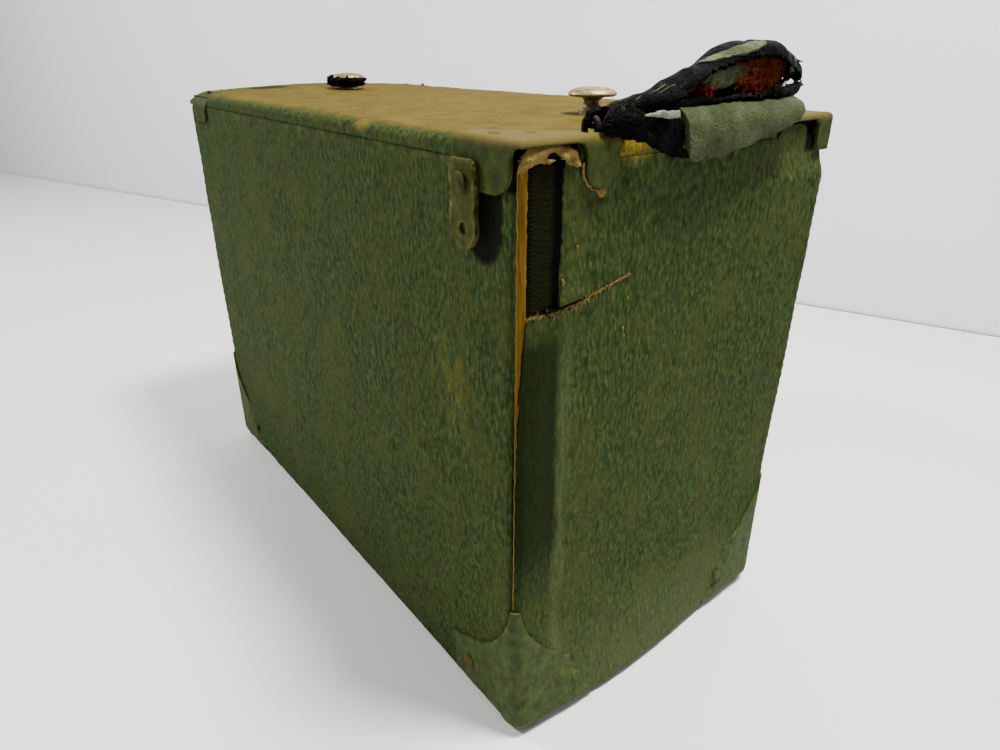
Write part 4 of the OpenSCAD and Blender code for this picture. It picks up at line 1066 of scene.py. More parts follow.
def lid_irons():
    """The four irons; the left ones are rounder and partly sunk into the covering."""
    lid_iron("iron_front_right", CORNERS["front_right"], IRON_HIGH[1], lobe_line())
    lid_iron("iron_back_right", CORNERS["back_right"], -REAR_IRON_LOW[1], back_end_line())
    for corner in ("front_left", "back_left"):
        lid_iron("iron_" + corner, CORNERS[corner], IRON_LOW[1] + LEFT_REACH, left_end_line(),
                 radius=7.0, sink=0.2, look="plain_iron")


CAP_RIM = ((2.0, 41.4), (2.8, 37.4), (4.6, 33.2), (7.2, 29.3), (10.0, 25.6), (12.8, 23.3),
           (18.6, 20.0), (24.4, 17.2))


def bottom_corner(name, signs):
    """A pressed corner under the case, hollowed between its points and sunk into the cloth."""
    x0, y0, z0 = CAP_LOW + (0.0, 0.0, 1.6)
    x1, y1 = CAP_HIGH[:2]
    rim = resampled(np.array(CAP_RIM), 1.6, closed=False)
    side = [(x1, z0), (x1, rim[0][1]), *[(x1 - a, z) for a, z in rim], (x0, rim[-1][1]), (x0, z0)]
    end = [(y0, z0), (y0, rim[0][1]), *[(y0 + a, z) for a, z in rim], (y1, rim[-1][1]), (y1, z0)]
    plate = [(x0, y0), (x1, y0), (x1, y1)]
    parts = [iron_part(side, 1, y0), iron_part(end, 0, x1), iron_part(plate, 2, z0)]
    parts[2] = (parts[2][0], flipped(parts[2][1]))
    box = (x0 - BEYOND, y0, z0), (x1, y1 + BEYOND, rim[0][1] + BEYOND)

    def sink(points):
        slant = 0.42 * (rim[0][1] - points[:, 2]) + 1.2 * waves(points, 5.0, 57)
        across = rise(points[:, 1] - y0 - 3.5, slant, 7.0)
        along = rise(x1 - 3.5 - slant, points[:, 0], 7.0)
        up = rise(points[:, 2] - z0, 1.0, 4.0)
        points[:, 0] -= 1.5 * across**2 * (3.0 - 2.0 * across) * up
        if signs != CORNERS["front_right"]:
            points[:, 1] += 1.5 * along**2 * (3.0 - 2.0 * along) * up
        return points

    return pressed_piece(name, parts, box, 3.2, signs, 0.85, "case", "corner_iron", sink)


def foot(name, signs):
    """The domed foot pressed out of a bottom corner."""
    center = (signs[0] * (HALF_L - 5.0), signs[1] * (HALF_W - 5.0))
    profile = [(radius, CAP_LOW[2] + z) for radius, z in (
        (5.4, 3.4), (5.3, 2.3), (4.9, 1.4), (4.2, 0.7), (3.3, 0.2), (2.4, 0.0), (1.2, 0.0),
        (0.0, 0.0))]
    turned_piece(name, profile, center, "case", "green_iron", look="corner_iron")


def turned_piece(name, profile, center, body, slot, replaced=(), count=40, wobble=0.0, axis=None,
                 look=None):
    """A surface of revolution about an upright line, from a profile of radius and height."""
    turn = full_turn(count)
    points, faces = [], []
    for ring, (radius, z) in enumerate(profile):
        for i, t in enumerate(turn):
            points.append((max(radius, 1e-3) * math.cos(t), max(radius, 1e-3) * math.sin(t), z))
            a, b = ring * count + i, ring * count + (i + 1) % count
            if ring:
                faces.append((a, b, b - count, a - count))
    points = np.array(points)
    points[:, 2] += wobble * waves(points, 4.0, 5)
    if axis is not None:
        points = points @ np.array(axis).T
    points = points + np.array([*center, 0.0][:3])
    return make_piece(name, flared(points), faces, body, slot, replaced, look=look)


def facing_x(sign):
    """The axes that turn a piece from upright to looking along X."""
    return (0, 0, sign), (0, 1, 0), (-sign, 0, 0)


def facing_y(sign):
    """The axes that turn a piece from upright to looking along Y."""
    return (1, 0, 0), (0, 0, sign), (0, -sign, 0)


# ---- hasps, studs and other fittings ----


def grid_faces(rows, columns, closed=False):
    """Quads between rows of points; closed joins each row's last point to its first."""
    faces = []
    for i in range(rows - 1):
        for j in range(columns if closed else columns - 1):
            k = (j + 1) % columns
            a, b = i * columns + j, i * columns + k
            faces.append((a, b, b + columns, a + columns))
    return faces


def soften_nodes():
    """Rounds the sharp edges of the CAD pieces that stay in view."""
    for name, width in (("hinge_box_leaves", 0.25), ("hinge_lid_leaves", 0.25),
                        ("floor_board", 0.5), ("divider_board", 0.7), ("divider_battens", 0.5),
                        ("lid_board", 0.4), ("lid_end_battens", 0.7), ("lid_side_battens", 0.7),
                        ("front_wall", 0.3), ("back_wall", 0.3), ("left_end_wall", 0.3),
                        ("right_end_wall", 0.4), ("corner_blocks", 0.4),
                        ("bottom_cover", 0.3), ("stud_nuts", 0.3), ("floor_pad", 0.6)):
        obj = frame["nodes"][name]
        weld = obj.modifiers.new("weld", "WELD")
        weld.merge_threshold = 0.00001
        bevel = obj.modifiers.new("bevel", "BEVEL")
        bevel.width = width * MM
        bevel.segments = 2
        bevel.limit_method = "ANGLE"
        bevel.angle_limit = math.radians(40.0)


def hasp(name, sy):
    """A hasp plate with a rubbed rim, a slot hole and the ring of its pivot."""
    low, high = mm_box(name)
    pivot_low, pivot_high = mm_box(name.replace("hasp", "hasp_pivot"))
    x = (low[0] + high[0]) / 2.0
    radius = (high[0] - low[0]) / 2.0
    pivot_z = (pivot_low[2] + pivot_high[2]) / 2.0
    hole_z = low[2] + radius
    bend = 1.6
    side, top = radius - bend, high[2] - bend
    outline = np.concatenate([arc((x, hole_z), radius, 180.0, 360.0, 20),
                              arc((x + side, top), bend, 0.0, 90.0, 6),
                              arc((x - side, top), bend, 90.0, 180.0, 6)])
    hole = arc((x, hole_z), 1.15, 0.0, 360.0, 18)[:-1]
    eye = arc((x, pivot_z), 1.25, 0.0, 360.0, 18)[:-1]
    outer = max(abs(low[1]), abs(high[1]))

    def place(flat):
        dish = 0.1 * waves(flat, 6.0, 51) * fall(flat[:, 1], pivot_z, 8.0)
        y = sy * (outer + dish)
        return stacked(flat[:, 0], y, flat[:, 1])

    obj = skin(name + "_plate", outline, place, abs(high[1] - low[1]), name, "green_hasp", 0.75,
               replaced=[name], holes=[hole, eye], edge_step=0.4, flip=sy > 0)
    modify(obj, "BEVEL", width=0.16 * MM, segments=3, limit_method="ANGLE",
           angle_limit=math.radians(60.0))
    return obj


def pivot_head(name, sy):
    """The domed, ringed head of a hasp's rivet."""
    low, high = mm_box(name)
    x, _, z = (low + high) / 2.0
    head = high[0] - x
    near, face = sorted((abs(low[1]), abs(high[1])))
    profile = [(1.1, near), (1.1, face - 0.75), (head, face - 0.7), (head + 0.05, face - 0.45),
               (head * 0.86, face - 0.2), (head * 0.68, face - 0.3), (head * 0.58, face - 0.16),
               (head * 0.3, face), (0.0, face + 0.02)]
    turned_piece(name + "_head", profile, (x, 0.0, z), "lid", "green_hasp", replaced=[name],
                 axis=facing_y(sy), wobble=0.03)


def stud(name):
    """A pressed stud: a waisted neck and a wide cap with a dished rim and a small nipple."""
    low, high = mm_box(name)
    cap = (high[0] - low[0]) / 2.0
    center = ((low[0] + high[0]) / 2.0, 0.0)
    neck = [(3.4, 5.4), (3.3, 5.0), (2.5, 4.4), (2.05, 3.6), (2.1, 2.8), (3.0, 2.3)]
    rim = [(cap - 0.6, 2.15), (cap - 0.1, 1.9), (cap, 1.6), (cap - 0.15, 1.2), (cap - 0.7, 0.8)]
    crown = [(cap * 0.72, 0.38), (cap * 0.5, 0.16), (cap * 0.3, 0.1), (1.0, 0.02), (0.5, 0.0),
             (0.0, 0.0)]
    profile = [(1.4, low[2]), *[(r, high[2] - down) for r, down in neck + rim + crown]]
    turned_piece(name + "_cap", profile, center, "lid", "stud_nickel", replaced=[name],
                 count=56, wobble=0.04)


RIVET_INSET = 18.7
RIVET_DOME = ((1.0, -0.3), (1.0, 0.15), (0.86, 0.45), (0.6, 0.65), (0.25, 0.76), (0.0, 0.78))


def rivets():
    """The domed rivets through the two sides of each bottom corner, a little out of round.

    Only the rusty one at the front right stands out; the others are smaller, flatter and green.
    """
    low, high = mm_box("bottom_corner_rivets")
    height = (low[2] + high[2]) / 2.0
    radius = (high[2] - low[2]) / 2.0
    for corner, (sx, sy) in CORNERS.items():
        side = (sx * (HALF_L - RIVET_INSET), sy * (high[1] - 0.75), height)
        end = (sx * (high[0] - 0.75), sy * (HALF_W - RIVET_INSET), height)
        for name, center, axis in (("side", side, facing_y(sy)), ("end", end, facing_x(sx))):
            rusty = (corner, name) == ("front_right", "side")
            profile = [(radius * r, z) for r, z in RIVET_DOME]
            if not rusty:
                profile = [(r * 0.75, z - 0.4) for r, z in profile]
            turned_piece(f"rivet_{corner}_{name}", profile, center, "case", "rusty_rivet",
                         replaced=["bottom_corner_rivets"] if rusty else (), count=24, axis=axis,
                         wobble=0.05, look="rusty_rivet" if rusty else "corner_iron")


def stop_nail():
    """The little brass head under the lobe of the front iron."""
    low, high = mm_box("stop_nail")
    radius = (high[1] - low[1]) / 2.0
    dome = ((1.0, 0.0), (1.0, 0.2), (0.8, 0.45), (0.4, 0.62), (0.0, 0.66))
    center = (high[0] - 0.55, (low[1] + high[1]) / 2.0, high[2] - radius * 0.3)
    turned_piece("stop_nail_head", [(radius * r, z) for r, z in dome], center, "case",
                 "nail_steel", replaced=["stop_nail"], count=20, axis=facing_x(1), wobble=0.05,
                 look="old_brass")


def strap_scrap():
    """The ragged black leather left round the neck of the left stud."""
    low, high = mm_box("strap_remnant")
    center = (low[:2] + high[:2]) / 2.0
    size = (high[:2] - low[:2]) / 2.0
    turn = full_turn(90)
    ring = around(turn)
    rag = 0.9 + 0.1 * waves(ring, 0.8, 61) + 0.05 * waves(ring, 0.25, 62)
    outline = center + ring * size * rag[:, None]
    hole = center + 2.3 * around(turn[::6])

    def place(flat):
        away = np.linalg.norm(flat - center, axis=1)
        curl = 0.8 * rise(away, 4.0, 4.0) ** 2 * (1.0 + waves(flat, 5.0, 63))
        return stacked(*flat.T, high[2] + curl + 0.1 * waves(flat, 3.0, 64))

    skin("strap_scrap", outline, place, high[2] - low[2], "lid", "black_leather", 0.8,
         replaced=["strap_remnant"], holes=[hole], edge_step=0.6, soften=0.15)


def strap_collar():
    """A second, thicker rag of leather, crumpled up round the neck under the cap."""
    low, high = mm_box("strap_remnant")
    center = (low[:2] + high[:2]) / 2.0
    rows, columns = 9, 72
    turn = full_turn(columns)
    ring = around(turn)
    points = []
    for i, (radius, z) in enumerate(((2.6, 1.7), (4.6, 1.9), (6.0, 1.7), (7.0, 1.2), (7.1, 0.5),
                                     (6.3, 0.1), (5.2, 0.0), (3.6, 0.1), (2.6, 0.2))):
        rag = 1.0 + 0.09 * waves(ring + i * 0.05, 0.9, 65) + 0.03 * waves(ring, 0.25, 66)
        flat = center + ring * (radius * rag)[:, None]
        height = high[2] + 0.1 + z * (1.0 + 0.3 * waves(ring, 0.7, 67))
        points.append(np.column_stack([flat, height]))
    faces = flipped(grid_faces(rows, columns, closed=True))
    make_piece("strap_collar", np.concatenate(points), faces, "lid", "black_leather")


def notch_shadows():
    """A black sheet of painted shade in the gap between the back ear and its iron."""
    x, top, rear = HALF_L - 0.35, REAR_IRON_HIGH[2], HALF_W
    start = REAR_IRON_LOW[1] + 0.8
    outline = [(rear - 8.4, SEAM_Z - 1.0), (rear - 4.8, SEAM_Z - 1.0), (rear - 4.8, top - 0.9),
               (start, top - 0.9), (start, top - 1.9), (rear - 11.4, top - 1.9),
               (rear - 9.4, top - 3.0)]

    def place(flat):
        return stacked(x + 0.1 * waves(flat, 3.0, 76), *flat.T)

    # Painted shade: a black sheet where the gap between the ear and the iron is in shade.
    skin("notch_shade_sheet", outline, place, 0.5, "lid", "dark_lining", 1.0, look="black_leather")


def worn_ear():
    """The front ear of the end, where the cloth is worn back to its tan canvas."""
    low, high = TAPE_LOW, TAPE_HIGH
    left, right = low[1] - 4.2, high[1] + 3.4
    top = EAR_Z + 1.0
    foot = high[2] + 0.6
    over = [(left, foot - 1.4), (left, top - 3.4), (left + 0.7, top - 1.7), (left + 2.2, top - 0.5),
            (left + 5.0, top), (left + 8.4, top - 0.5), (right - 2.2, top - 1.4),
            (right - 0.6, top - 2.5), (right, top - 3.6), (right + 0.1, foot - 1.2)]
    under = ragged([(right + 0.1, foot - 1.2), (right - 1.4, foot - 0.5), (right - 3.6, foot + 0.3),
                    (left + 9.0, foot + 0.5), (left + 5.4, foot + 0.1), (left + 3.0, foot + 0.1),
                    (left + 1.9, foot - 0.8), (left, foot - 1.4)], 0.5, 0.16, 71)
    hollow = np.array([(left + 5.9, top - 2.7), (left + 6.9, top - 1.8), (left + 8.3, top - 1.8),
                       (left + 9.3, top - 2.8), (left + 8.9, top - 3.4), (left + 7.2, top - 2.9)])

    def place(flat):
        y, z = flat.T
        roll = np.clip((z - top + 1.6) / 1.8, 0.0, 1.0) ** 2
        edge = fall(y, left + 1.6, 1.6) ** 2
        folds = 0.3 * np.sin((z - 0.35 * y) * 2.1) + 0.16 * waves(flat, 2.2, 72)
        return stacked(HALF_L + 0.5 - 0.9 * roll - 1.0 * edge + folds, y, z)

    skin("worn_ear_canvas", np.concatenate([over, under[1:-1]]), place, 0.7, "case",
         "end_leathercloth", 0.5, holes=[hollow], edge_step=0.35, look="worn_canvas")


def wrap_edge():
    """The cut edge of the side covering: a thin pale line up the whole corner."""
    z = np.arange(CAP_HIGH[2] - 19.0, SEAM_Z - 0.4, 0.9)
    wander = 0.12 * waves(z[:, None], 7.0, 75)
    line = stacked(HALF_L - EDGE_R * 0.5 + wander, -HALF_W - 0.1 + EDGE_R * 0.12, z)
    strand_piece("wrap_cut_edge", [(flared(line), 0.15, 5, 0.3)], "case", "green_leathercloth",
                 look="worn_canvas")


def tear_fibres():
    """Short broken threads along the two lips of the tear."""
    threads = []
    rng = np.random.default_rng(81)
    line = resampled([(TEAR_Y - 28.4, TEAR_Z - 2.3), (TEAR_Y - 21.0, TEAR_Z - 2.6),
                      (TEAR_Y - 15.0, TEAR_Z - 1.9), (TEAR_Y - 8.0, TEAR_Z - 0.1),
                      (TEAR_Y, TEAR_Z + 1.6)], 0.36, closed=False)
    for y, z in np.repeat(line, 2, axis=0):
        foot = np.array([HALF_L + 0.2, y, z + rng.normal(0.0, 0.16)])
        way = np.array([rng.uniform(0.05, 0.3), rng.normal(0.0, 0.35), rng.normal(0.0, 0.5)])
        line = [foot, foot + way * 0.6, foot + way * rng.uniform(0.9, 1.5)]
        threads.append((line, rng.uniform(0.1, 0.22)))
    strand_piece("tear_threads", threads, "case", "end_leathercloth", look="worn_canvas")


def worn_outlines():
    """Rubbed ochre edges beside the hanging lobe, and a black strand of painted shade above the tear."""
    middle = (IRON_HIGH[1] - LOBE_R, IRON_LOW[2] + LOBE_R)
    edges = []
    for start, end, out, radius in ((168.0, 262.0, 0.35, 0.3), (262.0, 300.0, 0.3, 0.45),
                                    (318.0, 372.0, 0.3, 0.16)):
        ring = arc(middle, LOBE_R + out, start, end, 14)
        y, z = (ring + 0.12 * waves(ring, 1.2, 83)[:, None]).T
        edges.append((stacked(HALF_L + 0.42, y, z), radius, 5, 0.4))
    strand_piece("rubbed_edges", edges, "case", "end_leathercloth", look="worn_canvas")
    # Painted shade: a black strand in the tear, above its pale threads, stands for the shade there.
    lip = np.array([(-24.0, -1.9), (-19.0, -1.8), (-13.0, -1.0)]) + (TEAR_Y, TEAR_Z)
    line = resampled(lip, 0.8, closed=False)
    y, z = (line + 0.15 * waves(line, 1.5, 84)[:, None]).T
    strand_piece("tear_shadow", [(stacked(HALF_L + 0.3, y, z), 0.42, 5, 0.5)], "case",
                 "end_leathercloth", look="black_leather")


def add_strand(points, faces, line, radius, sides=5, taper=0.75):
    """Adds a thread along a line of points, tapered at its end."""
    line = np.array(line, float)
    first = len(points)
    for i, p in enumerate(line):
        ahead = line[min(i + 1, len(line) - 1)] - line[max(i - 1, 0)]
        ahead /= max(np.linalg.norm(ahead), 1e-9)
        across = np.cross(ahead, (0.3, 0.2, 0.9))
        across /= np.linalg.norm(across)
        up = np.cross(ahead, across)
        r = radius * (1.0 - taper * i / (len(line) - 1))
        for k in range(sides):
            turn = 2.0 * math.pi * k / sides
            points.append(p + r * (across * math.cos(turn) + up * math.sin(turn)))
    faces += [tuple(first + i for i in f) for f in grid_faces(len(line), sides, closed=True)]
    faces.append(tuple(first + i for i in range(sides))[::-1])
    last = first + (len(line) - 1) * sides
    faces.append(tuple(last + i for i in range(sides)))


def strand_piece(name, strands, body, slot, replaced=(), look=None):
    """One piece made of threads, each given as add_strand takes it from its line on."""
    points, faces = [], []
    for strand in strands:
        add_strand(points, faces, *strand)
    return make_piece(name, np.array(points), faces, body, slot, replaced, look=look)


def gold_flecks():
    """Little bright scabs of old paint stuck to the end, placed from the end of the tear."""
    tall = 1.7
    for index, (right, up, r) in enumerate(((-19.1, 3.4, 0.42), (-15.6, 10.0, 0.2),
                                            (0.1, -3.8, 0.22), (-0.6, -10.7, 0.34),
                                            (-0.1, -12.4, 0.24))):
        center = np.array([TEAR_Y + right, TEAR_Z + up])
        turn = full_turn(14)
        ring = stacked(np.cos(turn), tall * np.sin(turn))
        ring *= r * (1.0 + 0.25 * waves(ring, 1.0, 90 + index))[:, None]

        def place(flat):
            away = np.linalg.norm((flat - center) / (r, tall * r), axis=1)
            return stacked(HALF_L + 0.5 - 0.25 * away**2, *flat.T)

        skin(f"fleck_{index}", ring + center, place, 0.35, "case", "end_leathercloth", 0.3,
             look="worn_canvas")


# ---- broken handle and torn flap ----

HANDLE_LOW, HANDLE_HIGH = mm_box("handle_leather")
STAPLE_LOW, STAPLE_HIGH = mm_box("handle_staple")
HANDLE_H = 12.2
HANDLE_X = (HANDLE_LOW[0], HANDLE_LOW[0] + 12.5)
HANDLE_Z = HANDLE_HIGH[2] - HANDLE_H
STAPLE_Y = (STAPLE_LOW[1] + STAPLE_HIGH[1]) / 2.0
HANDLE_L = HANDLE_HIGH[1] - STAPLE_Y
TORN_FROM = np.round((STAPLE_Y, LID_HIGH[2]), 3)


def roll_section(share):
    """Bottom, top, left and right of the rolled leather at a share of its length."""
    top = np.interp(share, (0.02, 0.06, 0.12, 0.21, 0.31, 0.42, 0.5, 0.56, 0.62, 0.7, 0.78, 0.86,
                            0.92, 0.97, 1.0),
                    (-0.04, 0.04, 0.12, 0.23, 0.36, 0.56, 0.71, 0.85, 0.94, 0.96, 0.93, 0.8, 0.68,
                     0.5, 0.4))
    low = np.interp(share, (0.03, 0.12, 0.16, 0.75, 0.9, 1.0),
                    (-0.26, -0.14, -0.05, 0.0, 0.04, 0.14))
    left = HANDLE_X[0] + np.interp(share, (0.03, 0.2, 0.4, 0.6, 0.9, 1.0),
                                   (6.6, 6.6, 4.6, 1.2, 0.6, 2.0))
    right = HANDLE_X[1] - np.interp(share, (0.03, 0.2, 0.78, 0.93, 1.0), (2.2, 0.2, 0.0, 2.6, 6.0))
    return HANDLE_Z + low * HANDLE_H, HANDLE_Z + top * HANDLE_H, left, right


def roll_point(share, turn, proud=0.0):
    """A place on the roll: turn is 0 on the open side and grows round the underside."""
    low, high, left, right = roll_section(share)
    cos, sin = np.cos(turn), -np.sin(turn)
    across = np.sign(cos) * np.abs(cos) ** 0.72
    up = np.sign(sin) * np.abs(sin) ** 0.72
    x = (left + right) / 2.0 + ((right - left) / 2.0 + proud) * across
    z = (low + high) / 2.0 + ((high - low) / 2.0 + proud) * up
    return stacked(x, STAPLE_Y + share * HANDLE_L, z)


def on_roll(inward, share, height):
    """A place inside the open side, at a share of the roll's length and of its height."""
    right = roll_section(share)[3]
    return np.array([right - inward, STAPLE_Y + share * HANDLE_L, HANDLE_Z + height * HANDLE_H])


def rolled_leather():
    """The leather of the handle: shut at its thin end, split open along the right side."""
    rows, columns = 110, 64
    share = np.linspace(0.03, 1.0, rows)
    near = np.interp(share, (0.31, 0.38, 0.47, 0.76, 0.88, 0.95), (0.02, 0.12, 0.46, 0.5, 0.16, 0.02))
    far = np.interp(share, (0.31, 0.35, 0.42, 0.5, 0.57, 0.7, 0.8, 0.9, 0.96),
                    (0.03, 0.5, 0.78, 0.7, 0.52, 0.54, 0.34, 0.16, 0.02))
    line = (share * HANDLE_L)[:, None]
    near = near * (1.0 + 0.2 * waves(line, 2.6, 101)) + 0.02
    far = far * (1.0 + 0.16 * waves(line, 2.2, 102)) + 0.02
    points = []
    for i, s in enumerate(share):
        turn = np.linspace(near[i], 2.0 * math.pi - far[i], columns)
        flat = stacked(s * HANDLE_L, turn * 4.0)
        folds = 0.3 * waves(flat, 14.0, 103) + 0.12 * waves(flat, 3.0, 104)
        shrink = rise(s, 0.985, 0.015)
        ring = roll_point(s, turn, folds - 0.3 * shrink)
        if s > 0.93:
            ring[:, 1] += 1.6 * waves(flat, 2.6, 105) * (s - 0.93) / 0.07
        points.append(ring)
    points = np.concatenate(points)
    faces = flipped(grid_faces(rows, columns))
    obj = make_piece("handle_roll", points, faces, "handle", "black_leather",
                     ["handle_leather"], sharp=60.0)
    thicken(obj, 1.0, 0.2)


def wire_staple():
    """The bent wire the handle turns on."""
    wire = (STAPLE_HIGH[1] - STAPLE_LOW[1]) / 2.0
    left, right, top = STAPLE_HIGH[0] - 4.2, STAPLE_HIGH[0] - wire, STAPLE_HIGH[2] - wire
    foot = STAPLE_LOW[2] + 0.5
    line = [(left, foot), (left, top - 1.2), *arc((left + 1.2, top - 1.2), 1.2, 180.0, 90.0, 6)[1:],
            *arc((right - 1.2, top - 1.2), 1.2, 90.0, 0.0, 6), (right, foot)]
    bend = ([(x, STAPLE_Y, z) for x, z in line], wire, 12, 0.0)
    strand_piece("staple_bend", [bend], "lid", "staple_wire", ["handle_staple"])


def handle_tongue():
    """The thin end of the leather, folded round the wire of the staple and torn off short."""
    x0, x1 = STAPLE_HIGH[0] - 3.0, STAPLE_HIGH[0] - 1.4
    z = STAPLE_HIGH[2] - 0.9
    path = [(2.6, 1.7), (0.6, 1.8), (-0.9, 1.2), (-1.5, -0.2), (-1.1, -1.5), (0.4, -1.8), (2.4, -1.5),
            (4.4, -1.2), (6.2, -0.9)]
    path = resampled(path, 0.5, closed=False)
    columns = 13
    points = []
    for i, (y, up) in enumerate(path):
        wide = 1.0 + 0.1 * math.sin(i * 0.9) + 0.9 * max(0.0, i / len(path) - 0.5)
        for j in range(columns):
            side = 2.0 * j / (columns - 1) - 1.0
            spread = wide * (1.0 + 0.08 * math.sin(i * 1.7 + side))
            x = (x0 + x1) / 2.0 + side * spread * (x1 - x0) / 2.0
            points.append((x, STAPLE_Y + y, z + up + 0.12 * math.sin(3.0 * side + i * 0.6)))
    obj = make_piece("handle_tongue", np.array(points),
                     flipped(grid_faces(len(path), columns)), "handle", "black_leather")
    thicken(obj, 0.8, 0.15)
    scrap = ragged([(-1.2, 0.6), (0.6, 1.5), (3.0, 1.5), (6.0, 1.8), (7.0, 0.0), (5.6, -2.6),
                    (1.6, -3.2), (-0.8, -2.2)], 0.9, 0.4, 111, closed=True)

    def place(flat):
        x = HANDLE_X[1] - 2.6 - flat[:, 1] * 0.9
        y = STAPLE_Y + flat[:, 0]
        lift = 0.35 * waves(flat, 3.0, 112) + 0.12 * np.clip(flat[:, 0], 0.0, 6.0)
        return stacked(x, y, z - 1.9 + lift - 0.18 * np.clip(-flat[:, 1], 0.0, 4.0) ** 2)

    skin("handle_scrap", scrap, place, 0.8, "handle", "black_leather", 0.8, edge_step=0.6,
         soften=0.12, flip=True)


def torn_leather():
    """The black leather torn from the handle, hanging ragged over the end."""
    foot = [(-2.7, 1.2), (-2.1, -0.4), (1.0, -1.3), (6.0, -2.2), (10.5, -3.8), (14.1, -5.1),
            (16.5, -5.5), (20.1, -6.5)]
    side = [(20.1, -6.5), (18.9, -4.6), (17.7, -2.6), (16.9, -0.8), (16.3, 1.7)]
    top = [(16.3, 1.7), (14.1, 2.1), (11.9, 1.7), (9.1, 2.3), (7.1, 3.4), (3.5, 4.7), (-0.1, 3.8),
           (-2.1, 2.4)]
    outline = [ragged(np.array(line) + TORN_FROM, step, depth, seed)[:-1] for line, step, depth, seed
               in ((foot, 0.8, 0.32, 121), (side, 0.7, 0.3, 122), (top, 0.7, 0.25, 123))]
    outline.append(np.array([top[-1]]) + TORN_FROM)

    def place(flat):
        y, z = flat.T
        bend = rise(z, TORN_FROM[1] + 0.8, 4.5) ** 1.5
        rear = fall(y, TORN_FROM[0] + 8.5, 12.0)
        x = HANDLE_HIGH[0] + 0.3 - 2.9 * bend - 2.4 * rear**1.5
        return stacked(x + 0.4 * waves(flat, 6.0, 124) + 0.1 * waves(flat, 1.8, 125), y, z)

    skin("torn_leather", np.concatenate(outline), place, 1.0, "handle", "black_leather", 0.8,
         edge_step=0.45, soften=0.14)


def shreds():
    """Slivers of leather at the broken end, and a pale thread line along the upper fold."""
    slivers = []
    curl = np.array([0.2, 0.3, -0.6])
    for share, height, *way in ((0.93, 0.56, 0.3, 1.0, -2.2), (0.95, 0.42, 0.5, 2.2, -0.8),
                                (0.9, 0.66, 0.9, 1.4, 0.7), (0.88, 0.2, 0.4, 1.8, -1.0)):
        foot = on_roll(0.8, share, height)
        way = np.array(way)
        slivers.append(([foot, foot + way * 0.5, foot + way + curl], 0.5, 6))
    strand_piece("handle_shreds", slivers, "handle", "black_leather")
    welts = []
    for first, last, drop, radius in ((0.07, 0.46, 0.0, 0.26), (0.16, 0.4, 0.35, 0.17)):
        share = np.linspace(first, last, 40)
        turn = np.interp(share, (0.06, 0.14, 0.25, 0.35, 0.46), (0.6, 1.2, 1.5, 1.62, 1.6)) - drop
        line = [roll_point(a, 2.0 * math.pi - b, 0.85 + 0.12 * math.sin(a * 60.0))
                for a, b in zip(share, turn)]
        welts.append((line, radius))
    strand_piece("handle_welt", welts, "handle", "stiffener")


def stiffener():
    """The grey-green stiffener: a strip under the upper lip, and a scrap inside the roll."""
    def lay(name, outline, turn, inward, seed, replaced=()):
        def place(flat):
            s, h = flat[:, 0] / HANDLE_L, flat[:, 1]
            right = roll_section(s)[3]
            x = right - inward - 0.5 * np.abs(h - outline[:, 1].mean()) * turn
            x = x + 0.2 * waves(flat, 4.0, seed)
            return stacked(x, STAPLE_Y + flat[:, 0], HANDLE_Z + h)

        skin(name, outline, place, 0.7, "handle", "stiffener", 0.8, replaced=replaced,
             edge_step=0.5, soften=0.12)

    def wrap(flat):
        return np.array([roll_point(a / HANDLE_L, 2.0 * math.pi - b / 7.0, 1.5)
                         for a, b in flat]) + 0.12 * waves(flat, 3.0, 132)[:, None]

    upper = np.array([(0.42, 1.62), (0.48, 1.56), (0.53, 1.36), (0.58, 1.16), (0.65, 1.1),
                      (0.685, 1.12), (0.69, 0.98), (0.66, 0.84), (0.62, 0.7), (0.56, 0.72),
                      (0.5, 0.98), (0.45, 1.3)])
    inner = np.array([(0.4, 0.4), (0.44, 0.52), (0.5, 0.62), (0.58, 0.655), (0.625, 0.6),
                      (0.61, 0.46), (0.56, 0.34), (0.5, 0.28), (0.44, 0.26)])
    skin("stiffener_strip", ragged(upper * (HANDLE_L, 7.0), 1.2, 0.16, 131, closed=True), wrap, 0.6,
         "handle", "stiffener", 0.8, replaced=["handle_strip"], edge_step=0.5, soften=0.12)
    lay("stiffener_scrap", ragged(inner * (HANDLE_L, HANDLE_H), 1.0, 0.3, 133, closed=True), 0.2,
        1.3, 134)


def pale_scraps():
    """A pale scrap of lining that shows below the handle, and its broken end."""
    under = np.array([(5.9, 2.4), (9.5, 3.2), (15.5, 3.1), (15.9, 1.8), (12.9, 1.6), (10.1, 2.2)])
    under = ragged(under + TORN_FROM, 0.7, 0.12, 135, closed=True)
    end = HANDLE_L * np.array([1.0, 0.0]) + np.array([(-11.0, 7.6), (-9.4, 9.4), (-7.4, 8.8),
                                                      (-7.6, 6.4), (-9.8, 6.0)])
    end = ragged(end + (STAPLE_Y, HANDLE_Z), 0.7, 0.16, 136, closed=True)

    def lay(x, lean):
        def place(flat):
            y, z = flat.T
            return stacked(x + lean * (y - y.mean()) + 0.15 * waves(flat, 2.0, 137), y, z)
        return place

    skin("lining_scrap", under, lay(HANDLE_HIGH[0] + 0.7, 0.0), 0.5, "handle", "stiffener", 0.6,
         edge_step=0.4, look="pale_lining")
    skin("stiffener_end", end, lay(HANDLE_X[1] - 1.4, -0.25), 0.6, "handle", "stiffener", 0.6,
         edge_step=0.4)
    fibres("lining_fringe", (0.83, 0.89), (0.04, 0.26), 40, 153, "pale_lining")


